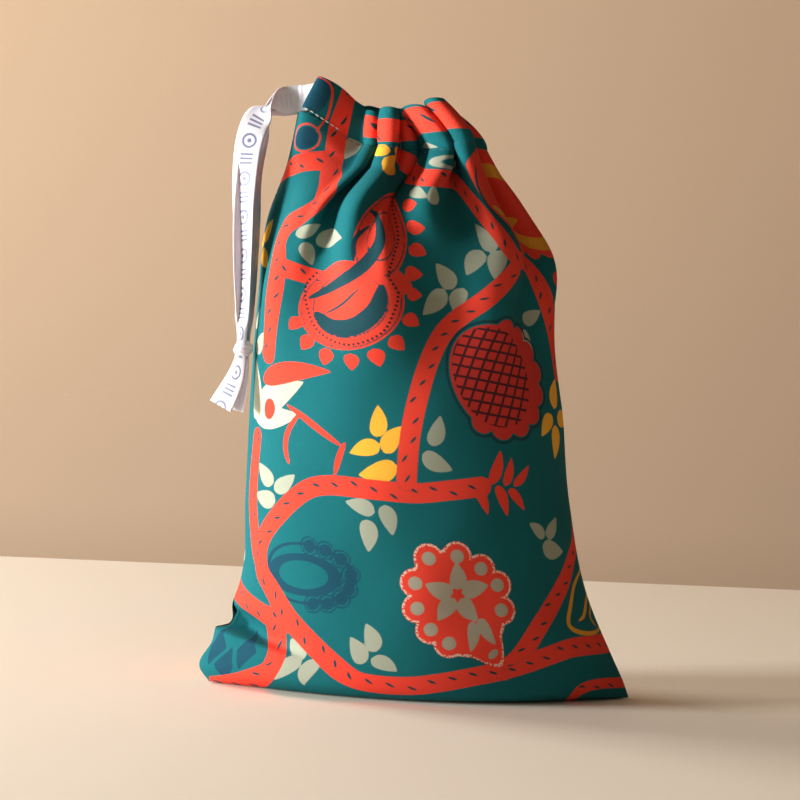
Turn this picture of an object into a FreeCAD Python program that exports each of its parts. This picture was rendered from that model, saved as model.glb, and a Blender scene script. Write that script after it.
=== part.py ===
"""Drawstring dice bag: two sewn cotton panels, a stitched casing round the mouth and a flat ribbon drawstring.

Frame: +Z up, -Y the front, +X to the right of someone facing the front. Millimetres.
The origin is on the table, midway between the two bottom corners of the standing bag.
The cloth solids are plain: they hold the size, the hollow and the openings, and not the folds.
"""

import FreeCAD
import Part
import math
import os

V = FreeCAD.Vector

# ---- the standing bag -------------------------------------------------------------------------
CLOTH = 0.6                 # wall thickness: quilting cotton with its soft surface
HALF_BASE = 72.0            # the bottom corners stand this far out on each side
TOP = 205.0                 # top edge of the casing
CASING = 14.5               # height of the casing
CASING_BOTTOM = TOP - CASING
SEAM_GAP = 0.1              # half the gap between the front and back cloth at the side seams
TIP = 1.2                   # the hollow ends this far inside a side seam

# Height, left seam, right seam, half depth, and how pointed the section is at its seams.
# The filled bag leans to its left as it rises, and its corners stay flat where it stands.
STATIONS = [
    (0.0, -HALF_BASE, HALF_BASE, 27.0, 1.7),
    (14.0, -67.0, 67.0, 33.0, 1.5),
    (34.0, -61.5, 59.5, 36.5, 1.2),
    (64.0, -60.5, 50.5, 39.5, 1.0),
    (98.0, -60.5, 45.5, 41.0, 1.0),
    (130.0, -60.0, 40.5, 39.5, 1.0),
    (156.0, -58.0, 35.0, 34.5, 1.05),
    (174.0, -54.5, 22.0, 25.5, 1.1),
]

# ---- the mouth, in plan -----------------------------------------------------------------------
NECK_SEAM = -50.0           # left side seam just under the casing
FLAP_END = -43.0            # the casing's two ends, where the ribbon comes out
FLAP_ROOT = -22.0           # the flaps run straight along X to here, and then the mouth opens out
FLAP_Y = 4.0                # outer face of a flap, from the middle plane
MOUTH_X, MOUTH_A, MOUTH_B = -8.5, 13.5, 14.0    # the gathered ring: centre and half axes
GATHERS = 1.1               # thickness of the gathered cloth just under the casing
CASING_STEP = 0.25          # the casing stands back this far from the cloth below it
CASING_ROOT = 0.3           # and starts this far down in it
HEM_LIFT = 0.3              # the hem's foot is this far above the seam line
BODY_POINTS = 15            # points along one half section
FLAP_POINTS = 5

# ---- the channel and the ribbon ---------------------------------------------------------------
CHANNEL = 1.8               # clear width of the channel between the two layers of the casing
RIBBON = 9.5                # a 3/8 inch ribbon
RIBBON_THICK = 0.4
CHANNEL_Z = CASING_BOTTOM + CASING / 2
LEAD_Y = FLAP_Y - CASING_STEP - CLOTH - CHANNEL / 2
PIVOT_X = FLAP_END - RIBBON / 2 - 0.3
LEAD_OUT = FLAP_END - 0.1
LEAD_IN = FLAP_ROOT - 0.5

# The hanging loop: each strand's route in its own plane, from the pivot down to the knot.
KNOT_X, KNOT_Y, KNOT_Z = -64.0, -12.0, 113.5
KNOT_TALL, KNOT_R = 8.0, 4.2
KNOT_TOP = KNOT_Z + KNOT_TALL / 2
KNOT_FOOT = KNOT_Z - KNOT_TALL / 2
FRONT_ROUTE = [(PIVOT_X, CHANNEL_Z), (-57.2, 197.2), (-64.6, 188.5), (-66.6, 170.0), (-65.4, 144.0), (-64.4, KNOT_TOP)]
BACK_ROUTE = [(PIVOT_X, CHANNEL_Z), (-56.6, 196.9), (-63.2, 188.8), (-64.9, 170.5), (-64.6, 144.5), (-63.6, KNOT_TOP)]
FRONT_TAIL = [(-64.4, KNOT_FOOT), (-66.6, 101.5), (-70.4, 94.0)]
BACK_TAIL = [(-63.6, KNOT_FOOT), (-64.4, 101.5), (-66.4, 93.2)]
TAIL_GAP = 0.15             # half the gap between the two strands at the knot
ARC_SHARE = 0.45            # how much of its shorter run an arc takes

# ---- stitching --------------------------------------------------------------------------------
ALLOWANCE = 8.0             # seam allowance left inside
STITCH_PITCH, STITCH, THREAD_R = 3.0, 2.2, 0.22
SEAM_FOOT, SEAM_TOP = 22.0, 180.0
ALLOWANCE_IN = 1.0          # the allowance begins this far inside the seam, in the panels' edges


def save(shape, node):
    """Write one node and say how large it is."""
    os.makedirs("parts", exist_ok=True)
    shape.exportStep("parts/%s.step" % node)
    box = shape.BoundBox
    print("%-22s solids %3d  valid %s  volume %9.1f  x %.1f..%.1f  y %.1f..%.1f  z %.1f..%.1f" % (
        node, len(shape.Solids), shape.isValid(), shape.Volume,
        box.XMin, box.XMax, box.YMin, box.YMax, box.ZMin, box.ZMax))


# ---- cloth sections ---------------------------------------------------------------------------
def body_half(left, right, depth, point):
    """The front half of a section, from the left seam to the right one."""
    centre, half = (left + right) / 2, (right - left) / 2
    angles = [math.pi * (1 - i / (BODY_POINTS - 1)) for i in range(BODY_POINTS)]
    return [(centre + half * math.cos(a), -depth * max(0.0, math.sin(a)) ** point) for a in angles]


def neck_half(inset, tip=0):
    """The mouth's front half, inset by a distance: the left seam, a straight flap and the round of the ring."""
    y, a, b = FLAP_Y - inset, MOUTH_A - inset, MOUTH_B - inset
    start = math.asin(y / b)
    first = FLAP_END + tip
    flap = [(first + (FLAP_ROOT - 1.5 - first) * i / (FLAP_POINTS - 1), -y) for i in range(FLAP_POINTS)]
    round_points = BODY_POINTS - FLAP_POINTS - 1
    turn = [start + (math.pi - start) * i / (round_points - 1) for i in range(round_points)]
    ring = [(MOUTH_X - a * math.cos(t), -b * max(0.0, math.sin(t))) for t in turn]
    return [(NECK_SEAM + tip, 0.0)] + flap + ring


def inward(points, distance):
    """The same open outline moved towards the middle plane by a distance, square to itself."""
    moved = []
    for i, (x, y) in enumerate(points):
        ax, ay = points[max(i - 1, 0)]
        bx, by = points[min(i + 1, len(points) - 1)]
        long = math.hypot(bx - ax, by - ay)
        moved.append((x - (by - ay) / long * distance, y + (bx - ax) / long * distance))
    return moved


def curve(points, z, side):
    """A smooth edge through an outline at a height. side is -1 for the front and 1 for the back."""
    line = Part.BSplineCurve()
    line.interpolate([V(x, -side * y, z) for x, y in points])
    return line.toShape()


def clear_of_seam(points):
    """Keeps an outline off the middle plane by half the seam gap."""
    return [(x, min(y, -SEAM_GAP)) for x, y in points]


def band_wire(outer, inner, z, side):
    """A closed, thin C between two outlines."""
    outer, inner = clear_of_seam(outer), clear_of_seam(inner)
    a, b = curve(outer, z, side), curve(list(reversed(inner)), z, side)
    ends = [V(p[0], -side * p[1], z) for p in (outer[-1], inner[-1], inner[0], outer[0])]
    return Part.Wire([a, Part.makeLine(ends[0], ends[1]), b, Part.makeLine(ends[2], ends[3])])


def cloth_band(outline, start, thick, low, high, side):
    """A straight standing band of cloth that follows an outline, from start to start + thick inside it."""
    outer = inward(outline, start) if start else outline
    face = Part.Face(band_wire(outer, inward(outline, start + thick), low, side))
    return face.extrude(V(0, 0, high - low))


def casing_outline():
    """The casing's outer face, a little inside the bulge below it, and open at the left seam."""
    return neck_half(CASING_STEP)[1:]


def half_solid(sections, side):
    """A solid half of the bag, lofted through D-shaped sections that are flat along the middle plane."""
    wires = []
    for z, points in sections:
        points = clear_of_seam(points)
        ends = [V(p[0], -side * p[1], z) for p in (points[-1], points[0])]
        wires.append(Part.Wire([curve(points, z, side), Part.makeLine(*ends)]))
    return Part.makeLoft(wires, True, False)


def panel(side):
    """One cloth panel: its wall, its half of the base and the casing's outer layer."""
    outer = [(z, body_half(left, right, depth, point)) for z, left, right, depth, point in STATIONS]
    inner = [(z, body_half(left + TIP, right - TIP, depth - CLOTH, point)) for z, left, right, depth, point in STATIONS]
    outer.append((CASING_BOTTOM, neck_half(0)))
    inner.append((CASING_BOTTOM, neck_half(GATHERS, TIP)))
    room = Part.makeBox(2 * HALF_BASE, 2 * HALF_BASE, TOP, V(-HALF_BASE, -HALF_BASE, CLOTH))
    wall = half_solid(outer, side).cut(half_solid(inner, side).common(room))
    casing = cloth_band(casing_outline(), 0, CLOTH, CASING_BOTTOM - CASING_ROOT, TOP, side)
    return wall.fuse(casing).removeSplitter()


def casing_hem(side):
    """The top edge turned inside: a fold along the top, the channel's inner layer and its stitched foot."""
    outline = casing_outline()
    foot_z = CASING_BOTTOM + HEM_LIFT
    inner = cloth_band(outline, CLOTH + CHANNEL, CLOTH, foot_z, TOP, side)
    fold = cloth_band(outline, CLOTH, CHANNEL, TOP - CLOTH, TOP, side)
    foot = cloth_band(outline, CLOTH, CHANNEL, foot_z, foot_z + CLOTH, side)
    return inner.fuse([fold, foot]).removeSplitter()


# ---- seams and stitches -----------------------------------------------------------------------
def seam_line(column):
    """The left (1) or right (2) seam as a smooth curve in the middle plane."""
    points = [V(s[column], 0, s[0]) for s in STATIONS]
    points.append(V(NECK_SEAM if column == 1 else MOUTH_X + MOUTH_A, 0, CASING_BOTTOM))
    line = Part.BSplineCurve()
    line.interpolate(points)
    return line


def seam_x(line, z):
    """Where a seam is at a height."""
    low, high = line.FirstParameter, line.LastParameter
    for _ in range(40):
        middle = (low + high) / 2
        if line.value(middle).z < z:
            low = middle
        else:
            high = middle
    return line.value(low).x


def seam_heights():
    """Heights along a side seam, one stitch apart."""
    count = int((SEAM_TOP - SEAM_FOOT) / STITCH_PITCH)
    return [SEAM_FOOT + STITCH_PITCH * (i + 0.5) for i in range(count)]


def allowance(column):
    """The two edges of the panels, pressed together inside the bag along a side seam."""
    line, inwards = seam_line(column), 1 if column == 1 else -1
    steps = [SEAM_FOOT + (SEAM_TOP - SEAM_FOOT) * i / 8 for i in range(9)]
    edge = [V(seam_x(line, z) + inwards * ALLOWANCE_IN, -CLOTH, z) for z in steps]
    far = [p + V(inwards * ALLOWANCE, 0, 0) for p in reversed(edge)]
    curves = []
    for row in (edge, far):
        smooth = Part.BSplineCurve()
        smooth.interpolate(row)
        curves.append(smooth.toShape())
    wire = Part.Wire([curves[0], Part.makeLine(edge[-1], far[0]), curves[1], Part.makeLine(far[-1], edge[0])])
    return Part.Face(wire).extrude(V(0, 2 * CLOTH, 0))


def stitch(middle, along, radius=THREAD_R, long=STITCH):
    """One stitch: a short length of thread."""
    along = along.normalize()
    return Part.makeCylinder(radius, long, middle - along * (long / 2), along)


def seam_stitches(column):
    """The stitches of a side seam, seen on both faces of the allowance."""
    line, inwards = seam_line(column), 1 if column == 1 else -1
    made = []
    for z in seam_heights():
        x = seam_x(line, z) + inwards * (ALLOWANCE_IN + 1.0)
        slope = seam_x(line, z + 1) - seam_x(line, z - 1)
        for face in (-1, 1):
            made.append(stitch(V(x, face * CLOTH, z), V(slope, 0, 2)))
    return Part.makeCompound(made)


def casing_stitches(side):
    """The row of stitches along the foot of the casing, on the outside."""
    edge = curve(casing_outline(), CASING_BOTTOM + 1.0, side)
    count = int(edge.Length / STITCH_PITCH)
    made = []
    for i in range(count):
        at = edge.getParameterByLength(STITCH_PITCH * (i + 0.5))
        made.append(stitch(edge.valueAt(at), edge.tangentAt(at)))
    return Part.makeCompound(made)


def bartack():
    """Three close stitches over the seam where the slit of the casing begins."""
    return Part.makeCompound([
        stitch(V(NECK_SEAM + 0.3, 0, CASING_BOTTOM - 1.5 - 1.2 * i), V(0, 1, 0), THREAD_R * 1.3, 2.4) for i in range(3)
    ])


# ---- the ribbon -------------------------------------------------------------------------------
def ribbon_in_casing():
    """The stretch of ribbon that stays inside the gathered channel, from one lead round to the other."""
    outline = [p for p in casing_outline() if p[0] > FLAP_ROOT - 1.0]
    middle = CLOTH + CHANNEL / 2 - RIBBON_THICK / 2
    low, high = CHANNEL_Z - RIBBON / 2, CHANNEL_Z + RIBBON / 2
    halves = [cloth_band(outline, middle, RIBBON_THICK, low, high, side) for side in (-1, 1)]
    end = inward(outline, middle)[-1]
    join = Part.makeBox(RIBBON_THICK, 2 * SEAM_GAP + 0.2, RIBBON, V(end[0] - RIBBON_THICK, -SEAM_GAP - 0.1, low))
    return halves[0].fuse([halves[1], join]).removeSplitter()


def lead(side):
    """The straight stretch of ribbon that slides in a flap of the casing."""
    box = Part.makeBox(LEAD_IN - LEAD_OUT, RIBBON_THICK, RIBBON)
    box.translate(V(LEAD_OUT, side * LEAD_Y - RIBBON_THICK / 2, CHANNEL_Z - RIBBON / 2))
    return box


def ribbon_path(route):
    """Straight runs joined by tangent arcs, as edges in the XZ plane, with each arc's radius."""
    points = [V(x, 0, z) for x, z in route]
    edges, radii, start = [], [], points[0]
    for a, b, c in zip(points, points[1:], points[2:]):
        before, after = (b - a).normalize(), (c - b).normalize()
        turn = before.getAngle(after)
        cut = ARC_SHARE * min((b - a).Length, (c - b).Length)
        radii.append(cut / math.tan(turn / 2))
        first, last = b - before * cut, b + after * cut
        middle = b + (after - before).normalize() * (radii[-1] / math.cos(turn / 2) - radii[-1])
        edges.append(Part.makeLine(start, first))
        edges.append(Part.Arc(first, middle, last).toShape())
        start = last
    edges.append(Part.makeLine(start, points[-1]))
    return Part.Wire(edges), radii


def strip(route, rounded):
    """A flat strip of ribbon along a route, face to the front, with a round end at its pivot if asked."""
    path, radii = ribbon_path(route)
    print("    runs", ["%.1f" % math.dist(a, b) for a, b in zip(route, route[1:])],
          "radii", ["%.1f" % r for r in radii], "length %.1f" % path.Length)
    first = path.OrderedEdges[0]
    start, along = first.valueAt(first.FirstParameter), first.tangentAt(first.FirstParameter)
    across = along.cross(V(0, 1, 0)).normalize()
    corners = [start + across * (s * RIBBON / 2) + V(0, t * RIBBON_THICK / 2, 0)
               for s, t in ((-1, -1), (1, -1), (1, 1), (-1, 1), (-1, -1))]
    made = path.makePipeShell([Part.makePolygon(corners)], True, False)
    print("    volume over section times length: %.3f" % (made.Volume / (RIBBON * RIBBON_THICK * path.Length)))
    if rounded:
        disc = Part.makeCylinder(RIBBON / 2, RIBBON_THICK, start - V(0, RIBBON_THICK / 2, 0), V(0, 1, 0))
        made = made.fuse(disc).removeSplitter()
    return made


def strand(route, side):
    """A hanging strand: flat in a plane that tips forward from the casing to the knot."""
    out = side * LEAD_Y
    forward = out - KNOT_Y - side * (RIBBON_THICK / 2 + TAIL_GAP)
    tip = math.atan2(forward, CHANNEL_Z - KNOT_TOP)
    end = CHANNEL_Z - (CHANNEL_Z - KNOT_TOP) / math.cos(tip)
    made = strip(route[:-1] + [(route[-1][0], end)], True)
    made.translate(V(0, out, 0))
    made.rotate(V(0, out, CHANNEL_Z), V(1, 0, 0), -math.degrees(tip))
    return made


def tail(route, side):
    """A cut end of the ribbon below the knot."""
    made = strip(route, False)
    made.translate(V(0, KNOT_Y + side * (RIBBON_THICK / 2 + TAIL_GAP), 0))
    return made


def knot():
    """The overhand knot that ties the two ends together."""
    belly = Part.makeSphere(KNOT_R, V(KNOT_X, KNOT_Y, KNOT_Z))
    keep = Part.makeBox(20, 20, KNOT_TALL, V(KNOT_X - 10, KNOT_Y - 10, KNOT_FOOT))
    return belly.common(keep)


def main():
    """Write every node."""
    for side, name in ((-1, "front"), (1, "back")):
        save(panel(side), name + "_panel")
        save(casing_hem(side), name + "_casing_hem")
        save(casing_stitches(side), name + "_casing_stitches")
        save(lead(side), "ribbon_%s_lead" % name)
    for column, name in ((1, "left"), (2, "right")):
        save(allowance(column), name + "_seam_allowance")
        save(seam_stitches(column), name + "_seam_stitches")
    save(bartack(), "slit_bartack")
    save(ribbon_in_casing(), "ribbon_in_casing")
    save(strand(FRONT_ROUTE, -1), "ribbon_front_strand")
    save(strand(BACK_ROUTE, 1), "ribbon_back_strand")
    save(tail(FRONT_TAIL, -1), "ribbon_front_tail")
    save(tail(BACK_TAIL, 1), "ribbon_back_tail")
    save(knot(), "ribbon_knot")


main()
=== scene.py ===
"""The looks of a drawstring dice bag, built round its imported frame.

Metres in the scene, millimetres in the sizes below: a piece's points are worked out in millimetres and
turned to metres when its mesh is made. +Z up, -Y the front, +X to the right of someone facing the front.
"""

from __future__ import annotations

import logging
import math
from dataclasses import dataclass, field
from enum import Enum

import bmesh
import bpy
import numpy as np
from mathutils import Matrix, Vector

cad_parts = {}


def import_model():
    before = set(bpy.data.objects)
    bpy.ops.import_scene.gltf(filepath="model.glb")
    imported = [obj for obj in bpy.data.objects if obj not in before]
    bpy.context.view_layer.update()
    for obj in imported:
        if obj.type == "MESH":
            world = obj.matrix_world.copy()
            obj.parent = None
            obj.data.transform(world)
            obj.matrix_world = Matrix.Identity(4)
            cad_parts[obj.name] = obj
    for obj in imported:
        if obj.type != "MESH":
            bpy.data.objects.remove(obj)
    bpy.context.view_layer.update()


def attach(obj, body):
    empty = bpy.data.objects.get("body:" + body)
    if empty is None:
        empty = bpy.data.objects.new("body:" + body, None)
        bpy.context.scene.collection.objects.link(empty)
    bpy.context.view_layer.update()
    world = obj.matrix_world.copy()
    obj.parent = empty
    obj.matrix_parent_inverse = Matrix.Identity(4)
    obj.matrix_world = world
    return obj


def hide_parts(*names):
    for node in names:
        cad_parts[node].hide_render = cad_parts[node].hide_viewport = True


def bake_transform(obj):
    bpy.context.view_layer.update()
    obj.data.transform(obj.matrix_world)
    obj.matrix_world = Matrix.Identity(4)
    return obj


LOG = logging.getLogger("dice_bag")
MM = 0.001


# ---- small helpers ------------------------------------------------------------------------------
def smoothstep(low: float, high: float, x: np.ndarray) -> np.ndarray:
    """A smooth rise from 0 at low to 1 at high.

    Args:
        low: Where the rise starts.
        high: Where it ends.
        x: The values to look up.

    Returns:
        The share from 0 to 1 at each value.
    """
    t = np.clip((np.asarray(x, float) - low) / (high - low), 0.0, 1.0)
    return t * t * (3 - 2 * t)


def hermite(knots: np.ndarray, values: np.ndarray, at: float) -> np.ndarray:
    """A smooth curve through values at uneven knots, with slopes from each value's neighbours.

    Args:
        knots: Rising places of the values.
        values: One row for each knot.
        at: The place to look up.

    Returns:
        The row at that place.
    """
    i = int(np.clip(np.searchsorted(knots, at) - 1, 0, len(knots) - 2))
    slopes = np.gradient(values, knots, axis=0)
    span = knots[i + 1] - knots[i]
    t = (at - knots[i]) / span
    return (
        (1 + 2 * t) * (1 - t) ** 2 * values[i]
        + t * (1 - t) ** 2 * span * slopes[i]
        + t * t * (3 - 2 * t) * values[i + 1]
        + t * t * (t - 1) * span * slopes[i + 1]
    )


def resample(points: np.ndarray, count: int) -> np.ndarray:
    """The same line with evenly spaced points.

    Args:
        points: Points along a line, one row each.
        count: How many to give back.

    Returns:
        The evenly spaced points.
    """
    along = distances(points)
    wanted = np.linspace(0, along[-1], count)
    return np.stack([np.interp(wanted, along, points[:, k]) for k in range(points.shape[1])], axis=1)


def soften(values: np.ndarray, reach: int) -> np.ndarray:
    """A row of values averaged with its neighbours, with its ends kept.

    Args:
        values: The row, or rows stacked along the first axis.
        reach: How many neighbours on each side.

    Returns:
        The softened row.
    """
    out = values.astype(float)
    for _ in range(reach):
        out[1:-1] = (out[:-2] + 2 * out[1:-1] + out[2:]) / 4
    return out


def distances(points: np.ndarray) -> np.ndarray:
    """How far along a line each of its points is."""
    return np.concatenate([[0.0], np.cumsum(np.linalg.norm(np.diff(points, axis=0), axis=1))])


def add_piece(name: str, bm: bmesh.types.BMesh, smooth: bool = True) -> bpy.types.Object:
    """Makes an object of a finished bmesh, and puts it in the scene.

    Args:
        name: The object's name, and its mesh's.
        bm: The bmesh, which is freed.
        smooth: Whether its faces are shaded smooth.

    Returns:
        The new object.
    """
    for face in bm.faces:
        face.smooth = smooth
    mesh = bpy.data.meshes.new(name)
    bm.to_mesh(mesh)
    bm.free()
    piece = bpy.data.objects.new(name, mesh)
    bpy.context.scene.collection.objects.link(piece)
    return piece


def cut_sheet(
    name: str, points: np.ndarray, flat: np.ndarray, flip: bool = False, smooth: bool = True
) -> bpy.types.Object:
    """A sheet from rows of points, with its flat cut as a UV map in metres.

    Args:
        name: The piece's name.
        points: Rows of points, in millimetres.
        flat: Where each of them is on the flat cut, in millimetres.
        flip: Whether to turn the faces round, so that they point outwards.
        smooth: Whether its faces are shaded smooth.

    Returns:
        The new object.
    """
    up, across = points.shape[0] - 1, points.shape[1] - 1
    bm = bmesh.new()
    bmesh.ops.create_grid(bm, x_segments=across, y_segments=up, size=0.5)
    uv_layer = bm.loops.layers.uv.new("cut")
    for vert in bm.verts:
        i, j = round((vert.co.x + 0.5) * across), round((vert.co.y + 0.5) * up)
        vert.co = Vector(points[j, i]) * MM
        for loop in vert.link_loops:
            loop[uv_layer].uv = flat[j, i] * MM
    if flip:
        bmesh.ops.reverse_faces(bm, faces=bm.faces)
    return add_piece(name, bm, smooth)


def linear(colour: str) -> tuple[float, float, float, float]:
    """An sRGB hex colour as the linear one that shaders take."""
    parts = [int(colour[i : i + 2], 16) / 255 for i in (1, 3, 5)]
    return (*[c / 12.92 if c <= 0.04045 else ((c + 0.055) / 1.055) ** 2.4 for c in parts], 1.0)


# ---- the cloth's shape --------------------------------------------------------------------------
class Side(Enum):
    """The two panels, by the sign of Y."""

    FRONT = -1
    BACK = 1


@dataclass(frozen=True)
class Section:
    """One level section of the filled bag: its height, seams, half depth and how pointed its ends are."""

    z: float
    left: float
    right: float
    depth: float
    point: float


@dataclass(frozen=True)
class LongFold:
    """A fold that runs down from the neck: its column, height proud, half width, drift and foot."""

    u: float
    proud: float
    wide: float
    drift: float
    foot: float


@dataclass
class PouchForm:
    """Where every point of the cloth lies: u is millimetres across a panel and v millimetres up it.

    A row of the cloth is laid along the section's outline. Where the outline is shorter than the cloth, the
    cloth waves in and out of it, and the waves are just as deep as the spare cloth needs.
    """

    width: float = 150.0
    base_v: float = 27.0
    casing: float = 12.4
    sections: tuple[Section, ...] = (
        Section(0.0, -69.6, 74.2, 27.0, 1.7),
        Section(4.5, -73.0, 72.4, 29.5, 1.6),
        Section(14.0, -69.0, 67.6, 33.0, 1.5),
        Section(34.0, -61.0, 58.0, 36.5, 1.2),
        Section(64.0, -60.5, 50.0, 39.5, 1.0),
        Section(98.0, -60.5, 45.0, 41.0, 1.0),
        Section(130.0, -59.6, 37.6, 39.5, 1.0),
        Section(156.0, -57.8, 32.8, 34.5, 1.05),
        Section(174.0, -52.2, 20.4, 25.5, 1.1),
    )
    neck_z: float = 192.1
    casing_start: float = 6.6
    neck_line: tuple[tuple[float, float, float], ...] = (
        (0.0, -49.2, 0.0), (7.0, -48.6, 6.4), (27.0, -27.0, 2.4), (39.0, -22.5, 5.0), (60.0, -15.0, 8.6),
        (72.0, -6.5, 6.6), (102.0, 3.2, 11.5), (130.0, 6.8, 8.5), (150.0, 6.0, 0.0),
    )
    base_round: float = 5.0
    swell: float = 1.3
    slope_cloth: float = 4.5
    hollows: int = 26
    hollow_depth: float = 0.16
    samples: int = 751
    front_gathers: tuple[float, ...] = (27.0, 39.0, 61.0, 70.0, 101.0, 130.0, 150.0)
    back_gathers: tuple[float, ...] = (27.0, 50.0, 66.0, 90.0, 104.0, 128.0, 150.0)
    front_swells: tuple[float, ...] = (6.0, 42.0, 86.0, 122.0, 150.0)
    back_swells: tuple[float, ...] = (6.0, 52.0, 98.0, 150.0)
    front_top: tuple[tuple[float, float], ...] = (
        (0.0, 205.4), (7.0, 205.2), (17.0, 201.4), (27.0, 196.0), (39.0, 195.0), (50.0, 195.3),
        (66.0, 194.3), (85.0, 195.0), (101.0, 195.4), (116.0, 197.8), (131.0, 196.0), (150.0, 195.6),
    )
    back_top: tuple[tuple[float, float], ...] = (
        (0.0, 206.0), (7.0, 205.4), (27.0, 197.0), (58.0, 195.6), (90.0, 197.0), (118.0, 196.6),
        (150.0, 196.0),
    )
    front_folds: tuple[LongFold, ...] = (
        LongFold(44.0, -4.0, 5.0, -3.0, 138.0),
        LongFold(57.0, 3.0, 5.0, -6.0, 128.0),
        LongFold(67.0, -8.0, 5.0, 4.0, 152.0),
        LongFold(106.0, 1.6, 8.0, 6.0, 128.0),
        LongFold(129.0, -2.0, 4.5, 4.0, 138.0),
        LongFold(15.0, -3.6, 8.0, 3.0, 132.0),
    )
    back_folds: tuple[LongFold, ...] = (
        LongFold(38.0, 2.0, 7.0, -4.0, 130.0),
        LongFold(76.0, -3.0, 7.0, 2.0, 135.0),
        LongFold(112.0, 2.0, 8.0, 6.0, 125.0),
    )
    u: np.ndarray = field(init=False)
    knots: np.ndarray = field(init=False)
    outlines: np.ndarray = field(init=False)

    def __post_init__(self) -> None:
        """Lays the outline of each section, with the neck's last, as points at even steps of cloth."""
        self.u = np.linspace(0.0, self.width, self.samples)
        self.knots = np.array([s.z for s in self.sections] + [self.neck_z])
        self.outlines = np.stack([self.body_outline(s) for s in self.sections] + [self.neck_outline()])

    def body_outline(self, s: Section) -> np.ndarray:
        """The front half of a section, from the left seam to the right one.

        Args:
            s: The section.

        Returns:
            Points in plan, with Y positive outwards from the middle plane.
        """
        turn = np.linspace(math.pi, 0.0, 400)
        x = (s.left + s.right) / 2 + (s.right - s.left) / 2 * np.cos(turn)
        y = s.depth * np.sin(turn).clip(0) ** s.point
        return resample(np.stack([x, y], axis=1), self.samples)

    def neck_outline(self) -> np.ndarray:
        """The neck's half at the stitch line: the seam, the flat flap, and the gathered ring with its hollow.

        Returns:
            Points in plan, at even steps of cloth: the ring is much shorter than the cloth on it.
        """
        knots = np.array(self.neck_line)
        line = np.array([hermite(knots[:, 0], knots[:, 1:], u) for u in self.u])
        return soften(line, 60)

    def waves(self, edges: tuple[float, ...]) -> np.ndarray:
        """The sine of the phase of folds that each fill the cloth between two edges.

        Args:
            edges: Columns where one fold ends and the next begins, in the valleys.

        Returns:
            The sine at each column, 0 outside the edges.
        """
        phase = np.interp(self.u, edges, np.arange(len(edges)) * 2 * math.pi)
        window = smoothstep(edges[0] - 1, edges[0] + 5, self.u) * (
            1 - smoothstep(edges[-1] - 4, edges[-1], self.u)
        )
        return np.sin(phase) * window

    def fold_angle(self, share: np.ndarray) -> np.ndarray:
        """How steep a wave is whose cloth advances by a share of its length.

        Args:
            share: Advance over cloth length, at most 1.

        Returns:
            The wave's steepest angle, in radians.
        """
        angles = np.linspace(0.0, 2.3, 160)
        turn = np.linspace(0, math.pi, 200)
        advance = np.array([np.cos(a * np.sin(turn)).mean() for a in angles])
        return np.interp(-np.clip(share, 0.06, 1.0), -advance, angles)

    def row(self, side: Side, z: float) -> tuple[np.ndarray, np.ndarray, np.ndarray]:
        """One row of cloth at a nominal height.

        Args:
            side: Which panel.
            z: The height, before the top's own slope is added.

        Returns:
            Points on the outline in plan with Y positive outwards, its normals, and how proud the cloth is.
        """
        front = side is Side.FRONT
        outline = hermite(self.knots, self.outlines, min(z, self.neck_z))
        step = np.gradient(outline, self.u, axis=0)
        share = np.minimum(soften(np.linalg.norm(step, axis=1), 120), 1)
        fine = float(smoothstep(136.0, 184.0, z))
        spare = smoothstep(0.0, 0.09, 1 - share)
        sharp = self.fold_angle(share**fine) * self.waves(self.front_gathers if front else self.back_gathers)
        broad = self.fold_angle(share ** (1 - fine)) * self.waves(
            self.front_swells if front else self.back_swells
        )
        angle = sharp + broad * spare
        du = self.u[1] - self.u[0]
        advance = np.concatenate([[0.0], np.cumsum(np.cos(angle[1:]) * du)])
        proud = np.concatenate([[0.0], np.cumsum(np.sin(angle[1:]) * du)])
        proud -= self.u / self.width * proud[-1]
        along = distances(outline)
        where = advance / advance[-1] * along[-1]
        base = np.stack([np.interp(where, along, outline[:, k]) for k in range(2)], axis=1)
        tangent = soften(np.gradient(outline, along + self.u * 1e-9, axis=0), 12)
        normal = np.stack(
            [np.interp(where, along, -tangent[:, 1]), np.interp(where, along, tangent[:, 0])], axis=1
        )
        lean = math.pi / 2 * smoothstep(112.0, 150.0, self.u)
        normal = normal * (1 - fine) + np.stack([np.sin(lean), np.cos(lean)], axis=1) * fine
        normal /= np.linalg.norm(normal, axis=1, keepdims=True)
        for fold in self.front_folds if front else self.back_folds:
            middle = fold.u + fold.drift * (self.neck_z - z) / (self.neck_z - fold.foot)
            lively = float(smoothstep(fold.foot, fold.foot + 30, z) * (1 - smoothstep(178, 190, z)))
            proud = proud + fold.proud * lively * np.exp(-(((self.u - middle) / fold.wide) ** 2))
        return base, normal, proud * self.seam_window(3.0)

    def seam_window(self, reach: float) -> np.ndarray:
        """1 over the panel, falling to 0 at its two seams over a distance in millimetres."""
        return smoothstep(0, reach, self.u) * smoothstep(0, reach, self.width - self.u)

    def top_lift(self, side: Side) -> np.ndarray:
        """How much higher or lower than level the top edge is, along a panel."""
        knots = self.front_top if side is Side.FRONT else self.back_top
        line = np.interp(self.u, [k[0] for k in knots], [k[1] for k in knots])
        return soften(line, 160) - (self.neck_z + self.casing)

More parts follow.
